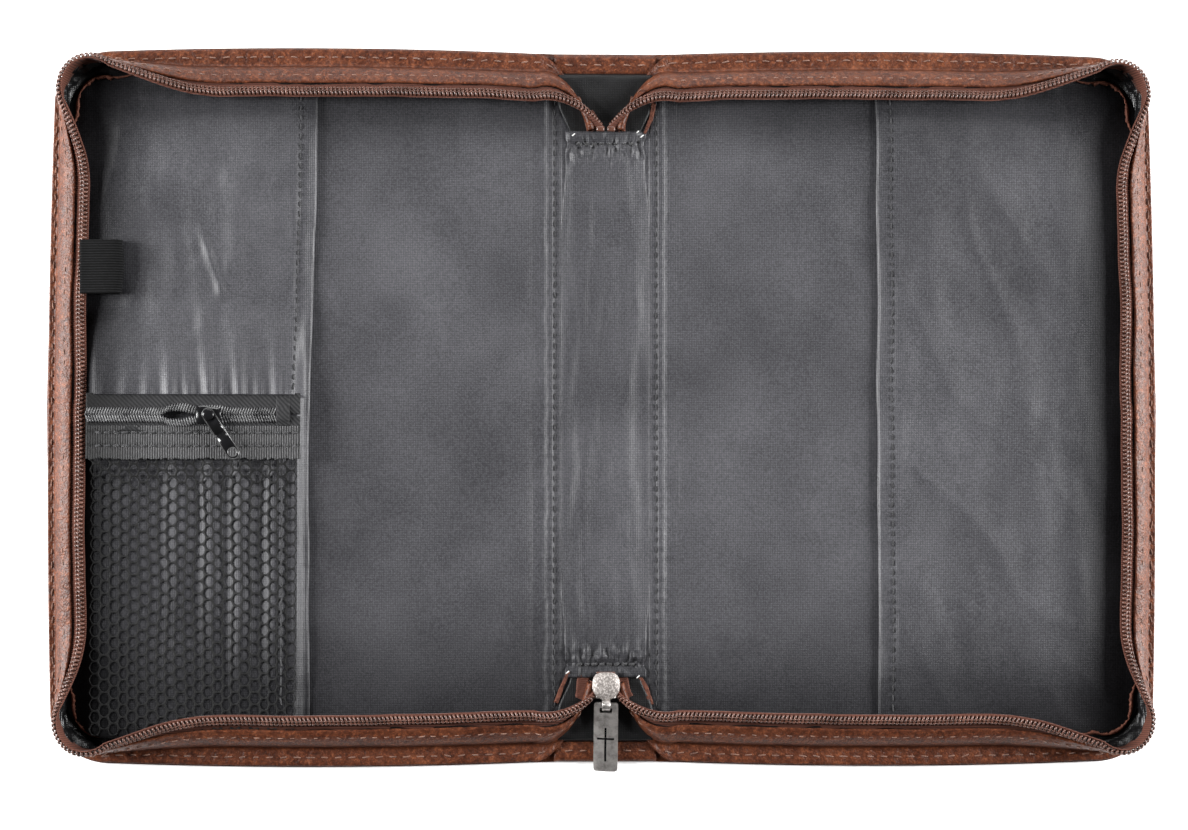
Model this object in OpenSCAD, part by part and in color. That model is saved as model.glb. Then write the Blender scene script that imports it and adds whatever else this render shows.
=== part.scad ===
// Zip-around book cover, opened flat with its lining up.
// X runs across the open cover, Y along the spine and Z up from the table.
// The origin is the middle of the spine's outer face.
// The covers fold about two creases beside the spine, each 90 degrees, until they face each other.

/* [Covers] */
// Height of the cover, along the spine
cover_h = 254; // [244:1:270]
// Width of each cover, from its hinge to its fore edge
cover_w = 177.5; // [172:0.5:190]
// Width of the spine, between the two hinges
spine_w = 38; // [38:1:44]
// Radius of the outer corners
corner_r = 21; // [19:1:25]
// How far each outer edge bows outward at its middle
edge_bow = 1.5; // [0:0.1:2]

/* [Layers] */
// Thickness of the outer leather
skin_t = 1.2; // [0.8:0.1:1.4]
// Thickness of the stiffener board
board_t = 1.8; // [1.2:0.1:2]
// Thickness of the foam over the board
foam_t = 1.5; // [1:0.1:1.6]
// Thickness of the lining fabric
lining_t = 0.4; // [0.3:0.05:0.5]

/* [Gusset] */
// Distance from the outer edge to the wall's foot, at the top and bottom
foot_ends = 7; // [6:0.5:8]
// Distance from the outer edge to the wall's foot, at the fore edge
foot_side = 3; // [2.5:0.5:4]
// Width of the wall above its bend
wall_w = 8; // [6:0.5:8]
// Lean of the wall from upright, on the straight runs
wall_lean = 48; // [42:1:52]
// Lean of the zip from upright, on the straight runs
zip_lean = 65; // [58:1:70]
// Width of one side of the zip coil
coil_w = 4; // [3:0.5:4]
// Thickness of the zip coil
coil_t = 2; // [1.5:0.1:2]

/* [Sleeves and pocket] */
// Distance from the hinge to the front sleeve's free edge
front_sleeve_gap = 85; // [80:1:95]
// Distance from the hinge to the back sleeve's free edge
back_sleeve_gap = 77; // [72:1:95]
// Clear height inside a sleeve and inside the pocket
slot_h = 4.3; // [4.2:0.05:4.4]
// Width of the ribbed band under the pocket zip
band_w = 10.6; // [8:0.2:12]
// Width of the pen loop, along the spine
loop_w = 18.8; // [14:0.2:22]

/* [Zip sliders] */
// Length of the main pull tab
tab_l = 24; // [18:0.5:26]
// Width of the main pull tab
tab_w = 8.5; // [7:0.5:9]
// Length of the pocket slider's pull
pull_l = 18; // [14:0.5:20]
// Width of the pocket slider's pull
pull_w = 4.9; // [4:0.1:6]

// Radius of the hole at the pull's free end
pull_hole_r = 1.5; // [0.8:0.1:1.6]

/* [Hidden] */
$fn = 48;

leather = [0.48, 0.28, 0.20];
dark_leather = [0.36, 0.20, 0.14];
thread = [0.66, 0.50, 0.42];
coil_brown = [0.50, 0.33, 0.27];
tape_brown = [0.42, 0.26, 0.20];
lining_grey = [0.38, 0.38, 0.40];
black = [0.10, 0.10, 0.11];
silver = [0.66, 0.64, 0.62];
board_grey = [0.60, 0.56, 0.50];
foam_white = [0.88, 0.88, 0.85];

// Heights of the layers, from the table up
fit = 0.3;
touch_gap = 0.05;
layer_gap = 0.15;
board_z = skin_t;
foam_z = board_z + board_t;
lining_z = foam_z + foam_t;
floor_z = lining_z + lining_t;
sleeve_z = floor_z + slot_h;
sleeve_t = 0.4;
pocket_floor_z = sleeve_z + sleeve_t;
pocket_z = pocket_floor_z + slot_h;
tape_t = 0.4;

// Hinges: a round crease on each side of the spine, in the leather's mid thickness
hinge_x = spine_w / 2;
hinge_z = skin_t / 2;
crease_r = 0.6;
skin_gap = 0.95;
groove = 5.5;
spine_end = 1.7;
hem_w = 7.8;

// The rim runs round three sides of a cover, from the hinge's top end to its bottom end
rim_x0 = hinge_x + 6;
arc_x = hinge_x + cover_w - edge_bow - corner_r;
arc_y = cover_h / 2 - edge_bow - corner_r;
corner_fade = 45;
half_arc = corner_r * PI / 4;
run_t = concat([for (i = [0:6]) 0.8 * i / 6], [for (i = [1:9]) 0.8 + 0.2 * i / 9]);
side_t = concat([for (i = [0:8]) 0.14 * i / 9], [for (i = [0:8]) 0.14 + 0.72 * i / 8], [for (i = [1:9]) 0.86 + 0.14 * i / 9]);
arc_steps = 10;

// The gusset's cross-section
flange_in = 0.3;
foot_corner = 3.2;
bend_z = floor_z + 0.5;
bend_in = 0.3;
corner_zip_lean = 20;
zip_tape_w = 4.5;
stitch_w = 0.6;
stitch_t = 0.2;
stitch_drop = 3;

// Clearances of the sleeve and of the pocket inside the gusset
sleeve_ends_in = foot_ends + 8.5;
sleeve_side_in = foot_side + 8.5;
skirt_t = 0.8;
pocket_x0 = hinge_x + front_sleeve_gap + 3;
pocket_x1 = hinge_x + cover_w - foot_side - 12;
pocket_y0 = -cover_h / 2 + foot_ends + 12.6;

// The pocket zip
pocket_zip_y = -4;
post_gap = 0.75;
pocket_coil_w = 2.25;
pocket_coil_t = 1.55;
tape_up = 7.2;
tape_down = 4.1;
band_y1 = pocket_zip_y - tape_down;
band_y0 = band_y1 - band_w;
end_tab_w = 4.6;
end_tab_x = pocket_x0 + 4;
coil_z = pocket_z + tape_t + touch_gap;
slider_x = 138.8;
slider_l = 8.8;
slider_w = 7;
plate_t = 0.8;
slider_top_z = coil_z + pocket_coil_t + fit;
pull_t = 0.8;
pull_angle = -57;

// The V where the two sides of the main zip meet over the spine
apex_y = 98.6;
tail_z = 7.2;
tail_t = 1.7;
tail_x0 = 0.9;
tail_x1 = 3.9;
knee_x = 17;
knee_drop = 2;
strip_w = 28.6;
strip_t = 1;
strip_top_y = 96.3;
strip_bottom_y = -95.6;

// The main slider at the bottom end of the zip, and its pull tab
main_slider_y0 = -102.8;
main_slider_y1 = -94.5;
main_plate_z = 6.1;
main_top_z = tail_z + tail_t + fit;
cap_w = 9.7;
cap_l = 9.5;
cap_t = 1.8;
pivot_y = -105.2;
pivot_z = 9.6;
ring_r = 2;
ring_bore_r = 1.2;
bar_r = 0.9;
ring_w = 3.4;
slot_w = 4.4;
tab_t = 1.6;
tab_slope = 14.7;

function mix(a, b, t) = a + (b - a) * t;
function smooth(t) = let (c = max(0, min(1, t))) c * c * (3 - 2 * c);

// A station on the rim: its point, its inward normal, how far it is on the fore edge (0 to 1)
// and how far it is into a corner (0 to 1)
function station(x, y, a, side, away) =
    [x, y, -cos(a), -sin(a), side, 1 - smooth(away / corner_fade)];
function flip(s) = [s.x, -s.y, s[2], -s[3], s[4], s[5]];
function bow(t) = edge_bow * pow(2 * t - 1, 2);

top_run = [for (t = run_t)
    let (x = mix(rim_x0, arc_x, t))
    station(x, cover_h / 2 - bow(t), 90, 0, arc_x - x + half_arc)];
top_arc = [for (i = [1:arc_steps - 1])
    let (a = 90 - 90 * i / arc_steps)
    station(arc_x + corner_r * cos(a), arc_y + corner_r * sin(a), a,
            smooth(1 - a / 90), corner_r * PI / 180 * abs(a - 45))];
side_run = [for (t = side_t)
    let (y = mix(arc_y, -arc_y, t))
    station(hinge_x + cover_w - bow(t), y, 0, 1, arc_y - abs(y) + half_arc)];
half_rim = concat(top_run, top_arc);
rim = concat(half_rim, side_run, [for (i = [len(half_rim) - 1:-1:0]) flip(half_rim[i])]);
corner_rim = [for (s = half_rim) if (s[5] > 0.5) s];

// The wall's foot, its lean and the zip's lean at a station
function foot(s) = mix(mix(foot_ends, foot_side, s[4]), foot_corner, s[5]);
function lean(s) = wall_lean * (1 - s[5]);
function lean_zip(s) = mix(zip_lean, corner_zip_lean, s[5]);

// A point in a station's cross-section: p.x inward from the edge, p.y up
function place(s, p) = [s.x + p.x * s[2], s.y + p.x * s[3], p.y];
// A point a up the wall from its bend and d through it from its outer face
function on_wall(s, a, d) =
    [foot(s) + bend_in + a * sin(lean(s)) + d * cos(lean(s)),
     bend_z + a * cos(lean(s)) - d * sin(lean(s))];
// A point a along the zip from the wall's top edge and d through its tape from the outer face
function on_zip(s, a, d) =
    on_wall(s, wall_w, skin_t + layer_gap)
    + [a * sin(lean_zip(s)) + d * cos(lean_zip(s)), a * cos(lean_zip(s)) - d * sin(lean_zip(s))];

function gusset_section(s) = [for (p = [
    [flange_in, skin_t], [flange_in, 2 * skin_t], [foot(s), 2 * skin_t], [foot(s) + bend_in, bend_z],
    on_wall(s, wall_w, 0), on_wall(s, wall_w, skin_t),
    [foot(s) + bend_in + skin_t, bend_z - skin_t * tan(lean(s) / 2)], [foot(s) + skin_t, skin_t]
]) place(s, p)];
function wall_band(s, a0, a1, d0, d1) =
    [for (p = [on_wall(s, a0, d0), on_wall(s, a1, d0), on_wall(s, a1, d1), on_wall(s, a0, d1)]) place(s, p)];
function tape_section(s) = [for (p = [
    on_wall(s, wall_w - 2.3, skin_t + layer_gap), on_zip(s, 0, 0), on_zip(s, zip_tape_w, 0),
    on_zip(s, zip_tape_w, tape_t), on_zip(s, 0, tape_t), on_wall(s, wall_w - 2.3, skin_t + layer_gap + tape_t)
]) place(s, p)];
function coil_section(s) = [for (p = [
    on_zip(s, 0.5, -coil_t), on_zip(s, 0.5 + coil_w, -coil_t),
    on_zip(s, 0.5 + coil_w, -layer_gap), on_zip(s, 0.5, -layer_gap)
]) place(s, p)];
function edge_stitch_section(s) =
    let (e = min(3.4, foot(s) - 0.7), z = 2 * skin_t)
    [for (p = [[e - stitch_w / 2, z + stitch_t], [e + stitch_w / 2, z + stitch_t],
               [e + stitch_w / 2, z], [e - stitch_w / 2, z]]) place(s, p)];
function seam_edge_section(s) =
    let (e = foot(s) + 2.2)
    [for (p = [[e, floor_z + 1.4], [e + 2.5, floor_z + 0.8], [e + 2.5, floor_z], [e, floor_z]]) place(s, p)];

// The tail of the zip leaves the rim's first station, bends at the knee, levels out at the slider's
// mouth and ends at the apex
function tail_start(s) = [for (p = [
    on_zip(s, 0.5, -coil_t), on_zip(s, 0.5 + coil_w, -coil_t), on_zip(s, 0.5 + coil_w, tape_t), on_zip(s, 0.5, tape_t)
]) place(s, p) - [touch_gap, 0, 0]];
function tail_knee(s) = [for (p = tail_start(s)) [knee_x, p.y, p.z - knee_drop]];
function tail_flat(outer, inner) = [
    concat(outer, tail_z + tail_t), concat(inner, tail_z + tail_t), concat(inner, tail_z), concat(outer, tail_z)
];
tail_apex = tail_flat([tail_x0, apex_y], [tail_x1, apex_y]);
tail_mouth = tail_flat([4.6, apex_y + 3.6], [5.9, apex_y + 1]);

// A solid through equal cross-sections, closed at both ends
module sweep(sections) {
    n = len(sections[0]);
    m = len(sections);
    sides = [for (i = [0:m - 2], k = [0:n - 1])
        let (a = i * n + k, b = i * n + (k + 1) % n)
        each [[a, b, b + n], [a, b + n, a + n]]];
    ends = [[for (k = [n - 1:-1:0]) k], [for (k = [0:n - 1]) (m - 1) * n + k]];
    polyhedron(points = [for (s = sections) each s], faces = concat(sides, ends), convexity = 8);
}

// A flat sheet inside the rim, from x0 outward, set in from the ends and from the fore edge
module panel(x0, ends_in, side_in, z, t) {
    inner = [for (s = rim) if (s.x > x0 + 1) place(s, [mix(ends_in, side_in, s[4]), 0])];
    y0 = inner[0].y;
    translate([0, 0, z])
        linear_extrude(t)
            polygon(concat([[x0, y0]], [for (p = inner) [p.x, p.y]], [[x0, -y0]]));
}

module slab(x0, x1, y0, y1, z0, z1) {
    translate([x0, y0, z0])
        cube([x1 - x0, y1 - y0, z1 - z0]);
}

module on_front() {
    mirror([1, 0, 0])
        children();
}

// ---- Spine ----

module spine_skin() {
    color(leather)
        slab(-hinge_x + crease_r, hinge_x - crease_r, -cover_h / 2 + spine_end, cover_h / 2 - spine_end, 0, skin_t);
}

module spine_hems() {
    y1 = cover_h / 2 - spine_end;
    color(dark_leather)
        for (flip_y = [0, 1])
            mirror([0, flip_y, 0])
                slab(-hinge_x + 1, hinge_x - 1, y1 - hem_w, y1, skin_t, 2 * skin_t);
}

spine_in_y = cover_h / 2 - spine_end - hem_w - 0.4;

module spine_board() {
    color(board_grey)
        slab(-hinge_x + 3, hinge_x - 3, -spine_in_y, spine_in_y, board_z, foam_z);
}

module spine_foam() {
    color(foam_white)
        slab(-hinge_x + 2, hinge_x - 2, -spine_in_y, spine_in_y, foam_z, lining_z - fit);
}

module spine_lining() {
    color(lining_grey)
        slab(-hinge_x + 1, hinge_x - 1, -spine_in_y, spine_in_y, lining_z - fit, floor_z - fit);
}

module spine_strip() {
    z = floor_z - fit;
    color(black)
        translate([0, strip_top_y, 0])
            rotate([90, 0, 0])
                linear_extrude(strip_top_y - strip_bottom_y)
                    polygon([
                        [-strip_w / 2, z], [strip_w / 2, z], [strip_w / 2 - 0.5, z + strip_t / 2],
                        [strip_w / 5, z + strip_t], [-strip_w / 5, z + strip_t], [-strip_w / 2 + 0.5, z + strip_t / 2]
                    ]);
}

module spine_strip_tacks() {
    z = floor_z - fit + strip_t;
    color(thread)
        for (y = [strip_top_y - 2.2, strip_bottom_y + 6])
            slab(-strip_w / 5, strip_w / 5, y - stitch_w / 2, y + stitch_w / 2, z, z + stitch_t);
}

module spine_end_linings() {
    color(black)
        for (flip_y = [0, 1])
            mirror([0, flip_y, 0])
                translate([0, 0, floor_z - fit])
                    linear_extrude(lining_t)
                        polygon([[-knee_x, spine_in_y], [knee_x, spine_in_y], [4, strip_top_y + 0.4], [-4, strip_top_y + 0.4]]);
}

module hinge_crease() {
    color(dark_leather)
        translate([hinge_x, cover_h / 2 - spine_end, hinge_z])
            rotate([90, 0, 0])
                cylinder(r = crease_r, h = cover_h - 2 * spine_end);
}

module front_hinge_crease() {
    on_front() hinge_crease();
}

module back_hinge_crease() {
    hinge_crease();
}

module zip_tape_ends() {
    z = floor_z - fit + lining_t + touch_gap;
    color(tape_brown) {
        slab(-7, -0.4, 97.4, 102, z, z + tape_t);
        slab(3.2, 7, 97.4, 102, z, z + tape_t);
        slab(-11, -7, -101.3, -96.2, z, z + tape_t);
        slab(1.4, 5.6, -101.3, -96.2, z, z + tape_t);
    }
}

module zip_stops() {
    color(coil_brown) {
        for (flip_x = [0, 1])
            mirror([flip_x, 0, 0])
                slab(tail_x0, tail_x1, apex_y - 2, apex_y, tail_z - 0.2, tail_z + tail_t + 0.2);
        slab(-3.5, 3.5, main_slider_y1 + 0.2, main_slider_y1 + 1, floor_z + strip_t - fit, main_top_z - fit);
    }
}

// ---- Parts that both covers share, drawn for the back cover on +X ----

module skin() {
    color(leather)
        panel(hinge_x + skin_gap, 0, 0, 0, skin_t);
}

module board() {
    color(board_grey)
        panel(hinge_x + groove, foot_ends + skin_t + 1, foot_corner + skin_t + 1, board_z, board_t);
}

module foam() {
    color(foam_white)
        panel(hinge_x + groove, foot_ends + skin_t + 1, foot_corner + skin_t + 1, foam_z, foam_t);
}

module lining() {
    color(lining_grey)
        panel(hinge_x + groove, foot_ends + skin_t + 1, foot_corner + skin_t + 1, lining_z, lining_t);
}

module gusset() {
    color(leather)
        sweep([for (s = rim) gusset_section(s)]);
}

module gusset_lining() {
    color(black)
        sweep([for (s = rim) wall_band(s, 2, wall_w - 2.5, skin_t + 2 * layer_gap, skin_t + 2 * layer_gap + lining_t)]);
}

module seam_edges() {
    color(dark_leather)
        for (flip_y = [0, 1])
            mirror([0, flip_y, 0])
                sweep([for (s = corner_rim) seam_edge_section(s)]);
}

module zip_tape() {
    color(tape_brown)
        sweep([for (s = rim) tape_section(s)]);
}

module zip_coil() {
    color(coil_brown)
        sweep([for (s = rim) coil_section(s)]);
}

module stitches() {
    a = wall_w - stitch_drop;
    color(thread) {
        sweep([for (s = rim) edge_stitch_section(s)]);
        sweep([for (s = rim) wall_band(s, a - stitch_w / 2, a + stitch_w / 2, -layer_gap - stitch_t, -layer_gap)]);
    }
}

module hinge_lining() {
    half_l = cover_h / 2 - sleeve_ends_in;
    color(lining_grey)
        translate([0, half_l, 0])
            rotate([90, 0, 0])
                linear_extrude(2 * half_l)
                    polygon([
                        [hinge_x - 0.7, floor_z - 0.7], [hinge_x + groove - fit, lining_z],
                        [hinge_x + groove - fit, floor_z], [hinge_x + 2.2, floor_z],
                        [hinge_x + 1.6, floor_z + 1.1], [hinge_x + 0.2, floor_z + 1.3], [hinge_x - 0.7, floor_z + 0.1]
                    ]);
}

module tail() {
    color(coil_brown)
        sweep([tail_apex, tail_mouth, tail_knee(rim[0]), tail_start(rim[0])]);
}

module sleeve(gap) {
    color(lining_grey)
        panel(hinge_x + gap, sleeve_ends_in, sleeve_side_in, sleeve_z, sleeve_t);
}

// The sleeve's sewn edges hold it above the lining: one strip along each edge and across each corner
module sleeve_seam(gap) {
    x0 = hinge_x + gap;
    x1 = hinge_x + cover_w - edge_bow - sleeve_side_in - skirt_t;
    y1 = cover_h / 2 - edge_bow - sleeve_ends_in - skirt_t;
    cut = corner_r - 12;
    half = [[x0, y1], [x1 - cut, y1], [x1, y1 - cut]];
    path = concat(half, [for (i = [2:-1:0]) [half[i].x, -half[i].y]]);
    color(lining_grey)
        for (i = [0:len(path) - 2])
            let (p = path[i], d = path[i + 1] - p)
                translate([p.x, p.y, floor_z])
                    rotate([0, 0, atan2(d.y, d.x)])
                        translate([0.3, 0, 0])
                            cube([norm(d) - 0.6, skirt_t, slot_h]);
}

module sleeve_stitches(gap, inset) {
    x = hinge_x + gap + inset;
    half_l = cover_h / 2 - sleeve_ends_in - 3;
    color(thread)
        slab(x - stitch_w / 2, x + stitch_w / 2, -half_l, half_l, pocket_floor_z, pocket_floor_z + stitch_t);
}

module front_skin() { on_front() skin(); }
module front_board() { on_front() board(); }
module front_foam() { on_front() foam(); }
module front_lining() { on_front() lining(); }
module front_gusset() { on_front() gusset(); }
module front_gusset_lining() { on_front() gusset_lining(); }
module front_seam_edges() { on_front() seam_edges(); }
module front_zip_tape() { on_front() zip_tape(); }
module front_zip_coil() { on_front() zip_coil(); }
module front_stitches() { on_front() stitches(); }
module front_hinge_lining() { on_front() hinge_lining(); }
module front_tail_top() { on_front() tail(); }
module front_tail_bottom() { on_front() mirror([0, 1, 0]) tail(); }
module front_sleeve() { on_front() sleeve(front_sleeve_gap); }
module front_sleeve_seam() { on_front() sleeve_seam(front_sleeve_gap); }
module front_sleeve_stitches() { on_front() sleeve_stitches(front_sleeve_gap, 1.5); }

module back_skin() { skin(); }
module back_board() { board(); }
module back_foam() { foam(); }
module back_lining() { lining(); }
module back_gusset() { gusset(); }
module back_gusset_lining() { gusset_lining(); }
module back_seam_edges() { seam_edges(); }
module back_zip_tape() { zip_tape(); }
module back_zip_coil() { zip_coil(); }
module back_stitches() { stitches(); }
module back_hinge_lining() { hinge_lining(); }
module back_tail_top() { tail(); }
module back_tail_bottom() { mirror([0, 1, 0]) tail(); }
module back_sleeve() { sleeve(back_sleeve_gap); }
module back_sleeve_seam() { sleeve_seam(back_sleeve_gap); }
module back_sleeve_stitches() { sleeve_stitches(back_sleeve_gap, 4.6); }

// ---- Pen loop and pocket, on the front cover ----

// A rounded box outline, by its corners and its corner radius
function rounded(x0, x1, y0, y1, r) = [for (c = [[x1, y1, 0], [x0, y1, 90], [x0, y0, 180], [x1, y0, 270]], i = [0:5])
    let (a = c[2] + 18 * i, sx = c[0] == x1 ? -1 : 1, sy = c[1] == y1 ? -1 : 1)
    [c[0] + sx * r + r * cos(a), c[1] + sy * r + r * sin(a)]];

loop_y = 38.5;
loop_x0 = 169;
loop_x1 = hinge_x + cover_w - foot_side - 12;
loop_h = 6.4;
loop_t = 0.9;
loop_r = 3;

module pen_loop() {
    z0 = pocket_floor_z + touch_gap;
    color(black)
        on_front()
            translate([0, loop_y + loop_w, 0])
                rotate([90, 0, 0])
                    linear_extrude(loop_w)
                        difference() {
                            polygon(rounded(loop_x0, loop_x1, z0, z0 + loop_h, loop_r));
                            polygon(rounded(loop_x0 + loop_t, loop_x1 - loop_t, z0 + loop_t,
                                            z0 + loop_h - loop_t, loop_r - loop_t));
                        }
}

module pocket_mesh() {
    color(black)
        on_front()
            difference() {
                slab(pocket_x0, pocket_x1, pocket_y0, band_y0, pocket_floor_z, pocket_z + tape_t);
                slab(pocket_x0 + skirt_t, pocket_x1 - skirt_t, pocket_y0 + skirt_t, band_y0 + 1,
                     pocket_floor_z - 1, pocket_z);
            }
}

module pocket_tape_upper() {
    y0 = pocket_zip_y + post_gap;
    y1 = pocket_zip_y + tape_up;
    color(black)
        on_front() {
            slab(pocket_x0, pocket_x1, y0, y1, pocket_z, pocket_z + tape_t);
            slab(pocket_x0, pocket_x1, y1 - skirt_t, y1, pocket_floor_z, pocket_z);
        }
}

module pocket_tape_lower() {
    color(black)
        on_front()
            slab(pocket_x0, pocket_x1, band_y1, pocket_zip_y - post_gap, pocket_z, pocket_z + tape_t);
}

module pocket_coil(y0) {
    color(black)
        on_front()
            slab(end_tab_x + end_tab_w, pocket_x1, y0, y0 + pocket_coil_w, coil_z, coil_z + pocket_coil_t);
}

module pocket_coil_upper() {
    pocket_coil(pocket_zip_y + post_gap);
}

module pocket_coil_lower() {
    pocket_coil(pocket_zip_y - post_gap - pocket_coil_w);
}

module pocket_band() {
    color(black)
        on_front()
            slab(pocket_x0, pocket_x1, band_y0, band_y1, pocket_z, pocket_z + tape_t + 0.2);
}

module pocket_band_stitches() {
    z = pocket_z + tape_t + 0.2;
    color(black)
        on_front()
            for (y = [band_y1 - 2.1, band_y1 - 6.7])
                slab(pocket_x0, pocket_x1, y - stitch_w / 2, y + stitch_w / 2, z, z + stitch_t);
}

module pocket_end_tab() {
    color(black)
        on_front()
            slab(end_tab_x, end_tab_x + end_tab_w - fit, band_y1, pocket_zip_y + 4, coil_z, coil_z + 1);
}

// ---- Pocket slider: two plates and a post, as on a real slider, and a post for its pull ----

module pocket_slider_body() {
    x0 = slider_x - slider_l / 2;
    x1 = slider_x + slider_l / 2;
    y0 = pocket_zip_y - slider_w / 2;
    y1 = pocket_zip_y + slider_w / 2;
    bottom_z = pocket_z - fit - plate_t;
    color(black)
        on_front() {
            slab(x0, x1, y0, y1, slider_top_z, slider_top_z + plate_t);
            slab(x0, x1, y0, y1, bottom_z, bottom_z + plate_t);
            slab(x1 - 3, x1 - 0.5, pocket_zip_y - 0.4, pocket_zip_y + 0.4, bottom_z + plate_t, slider_top_z);
            translate([slider_x, pocket_zip_y, slider_top_z + plate_t])
                cylinder(r = 1.2, h = pull_t + 2 * fit);
            translate([slider_x, pocket_zip_y, slider_top_z + plate_t + pull_t + 2 * fit])
                cylinder(r = 2.1, h = 0.5);
        }
}

module pocket_pull() {
    eye_r = pull_w / 2;
    color(black)
        translate([-slider_x, pocket_zip_y, slider_top_z + plate_t + fit])
            rotate([0, 0, pull_angle])
                difference() {
                    union() {
                        cylinder(r = eye_r, h = pull_t);
                        translate([0, -pull_w / 2, 0])
                            cube([pull_l - eye_r, pull_w, pull_t]);
                        translate([pull_l - eye_r, 0, 0])
                            cylinder(r = eye_r, h = pull_t);
                    }
                    translate([0, 0, -1])
                        cylinder(r = 1.5, h = pull_t + 2);
                    translate([pull_l - eye_r, 0, -1])
                        cylinder(r = pull_hole_r, h = pull_t + 2);
                }
}

// ---- Main slider, at the bottom end of the zip ----

module zip_slider_body() {
    half_w = 4.2;
    color(silver)
        difference() {
            union() {
                slab(-half_w, half_w, main_slider_y0, main_slider_y1, main_plate_z, main_plate_z + plate_t);
                slab(-half_w, half_w, main_slider_y0, main_slider_y1, main_top_z, main_top_z + plate_t);
                slab(-0.5, 0.5, main_slider_y1 - 5, main_slider_y1 - 1, main_plate_z + plate_t, main_top_z);
                slab(-ring_w / 2, ring_w / 2, pivot_y, main_slider_y0, pivot_z - 0.4, pivot_z + 0.4);
                translate([-ring_w / 2, pivot_y, pivot_z])
                    rotate([0, 90, 0])
                        cylinder(r = ring_r, h = ring_w);
            }
            translate([-ring_w, pivot_y, pivot_z])
                rotate([0, 90, 0])
                    cylinder(r = ring_bore_r, h = 2 * ring_w);
        }
}

module zip_slider_cap() {
    y1 = main_slider_y1 + 0.6;
    y0 = y1 - cap_l;
    color(silver)
        translate([0, 0, main_top_z + plate_t])
            linear_extrude(cap_t)
                union() {
                    translate([0, y0 + cap_w / 2])
                        circle(r = cap_w / 2);
                    translate([-cap_w / 2, y0 + cap_w / 2])
                        square([cap_w, y1 - y0 - cap_w / 2]);
                }
}

module zip_pull_tab() {
    chamfer = 1.6;
    cut = 0.3;
    line_w = 0.7;
    cross_l = 12.4;
    arm_l = 6;
    color(silver)
        translate([0, pivot_y, pivot_z])
            rotate([tab_slope, 0, 0])
                difference() {
                    union() {
                        translate([-tab_w / 2, 0, 0])
                            rotate([0, 90, 0])
                                cylinder(r = bar_r, h = tab_w);
                        translate([0, 0, -tab_t / 2])
                            linear_extrude(tab_t)
                                difference() {
                                    polygon([
                                        [-tab_w / 2, 0], [tab_w / 2, 0], [tab_w / 2, -tab_l + chamfer],
                                        [tab_w / 2 - chamfer, -tab_l], [-tab_w / 2 + chamfer, -tab_l],
                                        [-tab_w / 2, -tab_l + chamfer]
                                    ]);
                                    translate([-slot_w / 2, -ring_r - 0.6])
                                        square([slot_w, ring_r + 1.6]);
                                }
                    }
                    slab(-line_w / 2, line_w / 2, -8 - cross_l, -8, tab_t / 2 - cut, tab_t);
                    slab(-arm_l / 2, arm_l / 2, -8 - cross_l / 3 - line_w / 2, -8 - cross_l / 3 + line_w / 2,
                         tab_t / 2 - cut, tab_t);
                }
}

spine_skin();
spine_hems();
spine_board();
spine_foam();
spine_lining();
spine_strip();
spine_strip_tacks();
spine_end_linings();
front_hinge_crease();
back_hinge_crease();
zip_tape_ends();
zip_stops();
front_skin();
front_board();
front_foam();
front_lining();
front_gusset();
front_gusset_lining();
front_seam_edges();
front_zip_tape();
front_zip_coil();
front_stitches();
front_hinge_lining();
front_tail_top();
front_tail_bottom();
front_sleeve();
front_sleeve_seam();
front_sleeve_stitches();
pen_loop();
pocket_mesh();
pocket_tape_upper();
pocket_tape_lower();
pocket_coil_upper();
pocket_coil_lower();
pocket_band();
pocket_band_stitches();
pocket_end_tab();
back_skin();
back_board();
back_foam();
back_lining();
back_gusset();
back_gusset_lining();
back_seam_edges();
back_zip_tape();
back_zip_coil();
back_stitches();
back_hinge_lining();
back_tail_top();
back_tail_bottom();
back_sleeve();
back_sleeve_seam();
back_sleeve_stitches();
zip_slider_body();
zip_slider_cap();
zip_pull_tab();
pocket_slider_body();
pocket_pull();
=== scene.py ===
"""Zip-around book cover, opened flat: fabric, leather, zip and metal over the CAD frame.

Lengths are in metres in the row frame. MM turns millimetres into metres.
The back cover is drawn on +X. The front cover is the same drawing with X mirrored.
"""
import math

import bpy
import bmesh
import numpy as np
from mathutils import Matrix, Vector, noise


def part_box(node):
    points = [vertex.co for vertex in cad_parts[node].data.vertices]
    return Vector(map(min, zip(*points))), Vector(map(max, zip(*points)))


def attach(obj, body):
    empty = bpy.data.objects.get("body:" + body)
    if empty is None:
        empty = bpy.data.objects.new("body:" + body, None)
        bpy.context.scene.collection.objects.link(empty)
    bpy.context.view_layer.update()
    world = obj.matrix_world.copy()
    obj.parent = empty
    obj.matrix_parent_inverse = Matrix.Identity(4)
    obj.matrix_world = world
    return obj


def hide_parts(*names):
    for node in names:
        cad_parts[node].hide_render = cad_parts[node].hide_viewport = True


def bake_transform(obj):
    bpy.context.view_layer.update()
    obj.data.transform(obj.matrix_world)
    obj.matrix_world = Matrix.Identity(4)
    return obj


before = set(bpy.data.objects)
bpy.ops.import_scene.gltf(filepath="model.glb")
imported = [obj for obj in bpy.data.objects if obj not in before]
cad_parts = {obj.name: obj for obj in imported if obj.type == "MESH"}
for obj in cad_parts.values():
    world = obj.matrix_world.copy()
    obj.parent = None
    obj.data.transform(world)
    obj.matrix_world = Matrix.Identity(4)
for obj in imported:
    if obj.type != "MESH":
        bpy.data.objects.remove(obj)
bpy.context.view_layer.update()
MM = 0.001
ALONG_X, ALONG_Y, UP = np.eye(3)
rng = np.random.default_rng(7)


# ---------------------------------------------------------------- sizes from the frame

def low(node):
    return np.array(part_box(node)[0]) / MM


def high(node):
    return np.array(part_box(node)[1]) / MM


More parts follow.
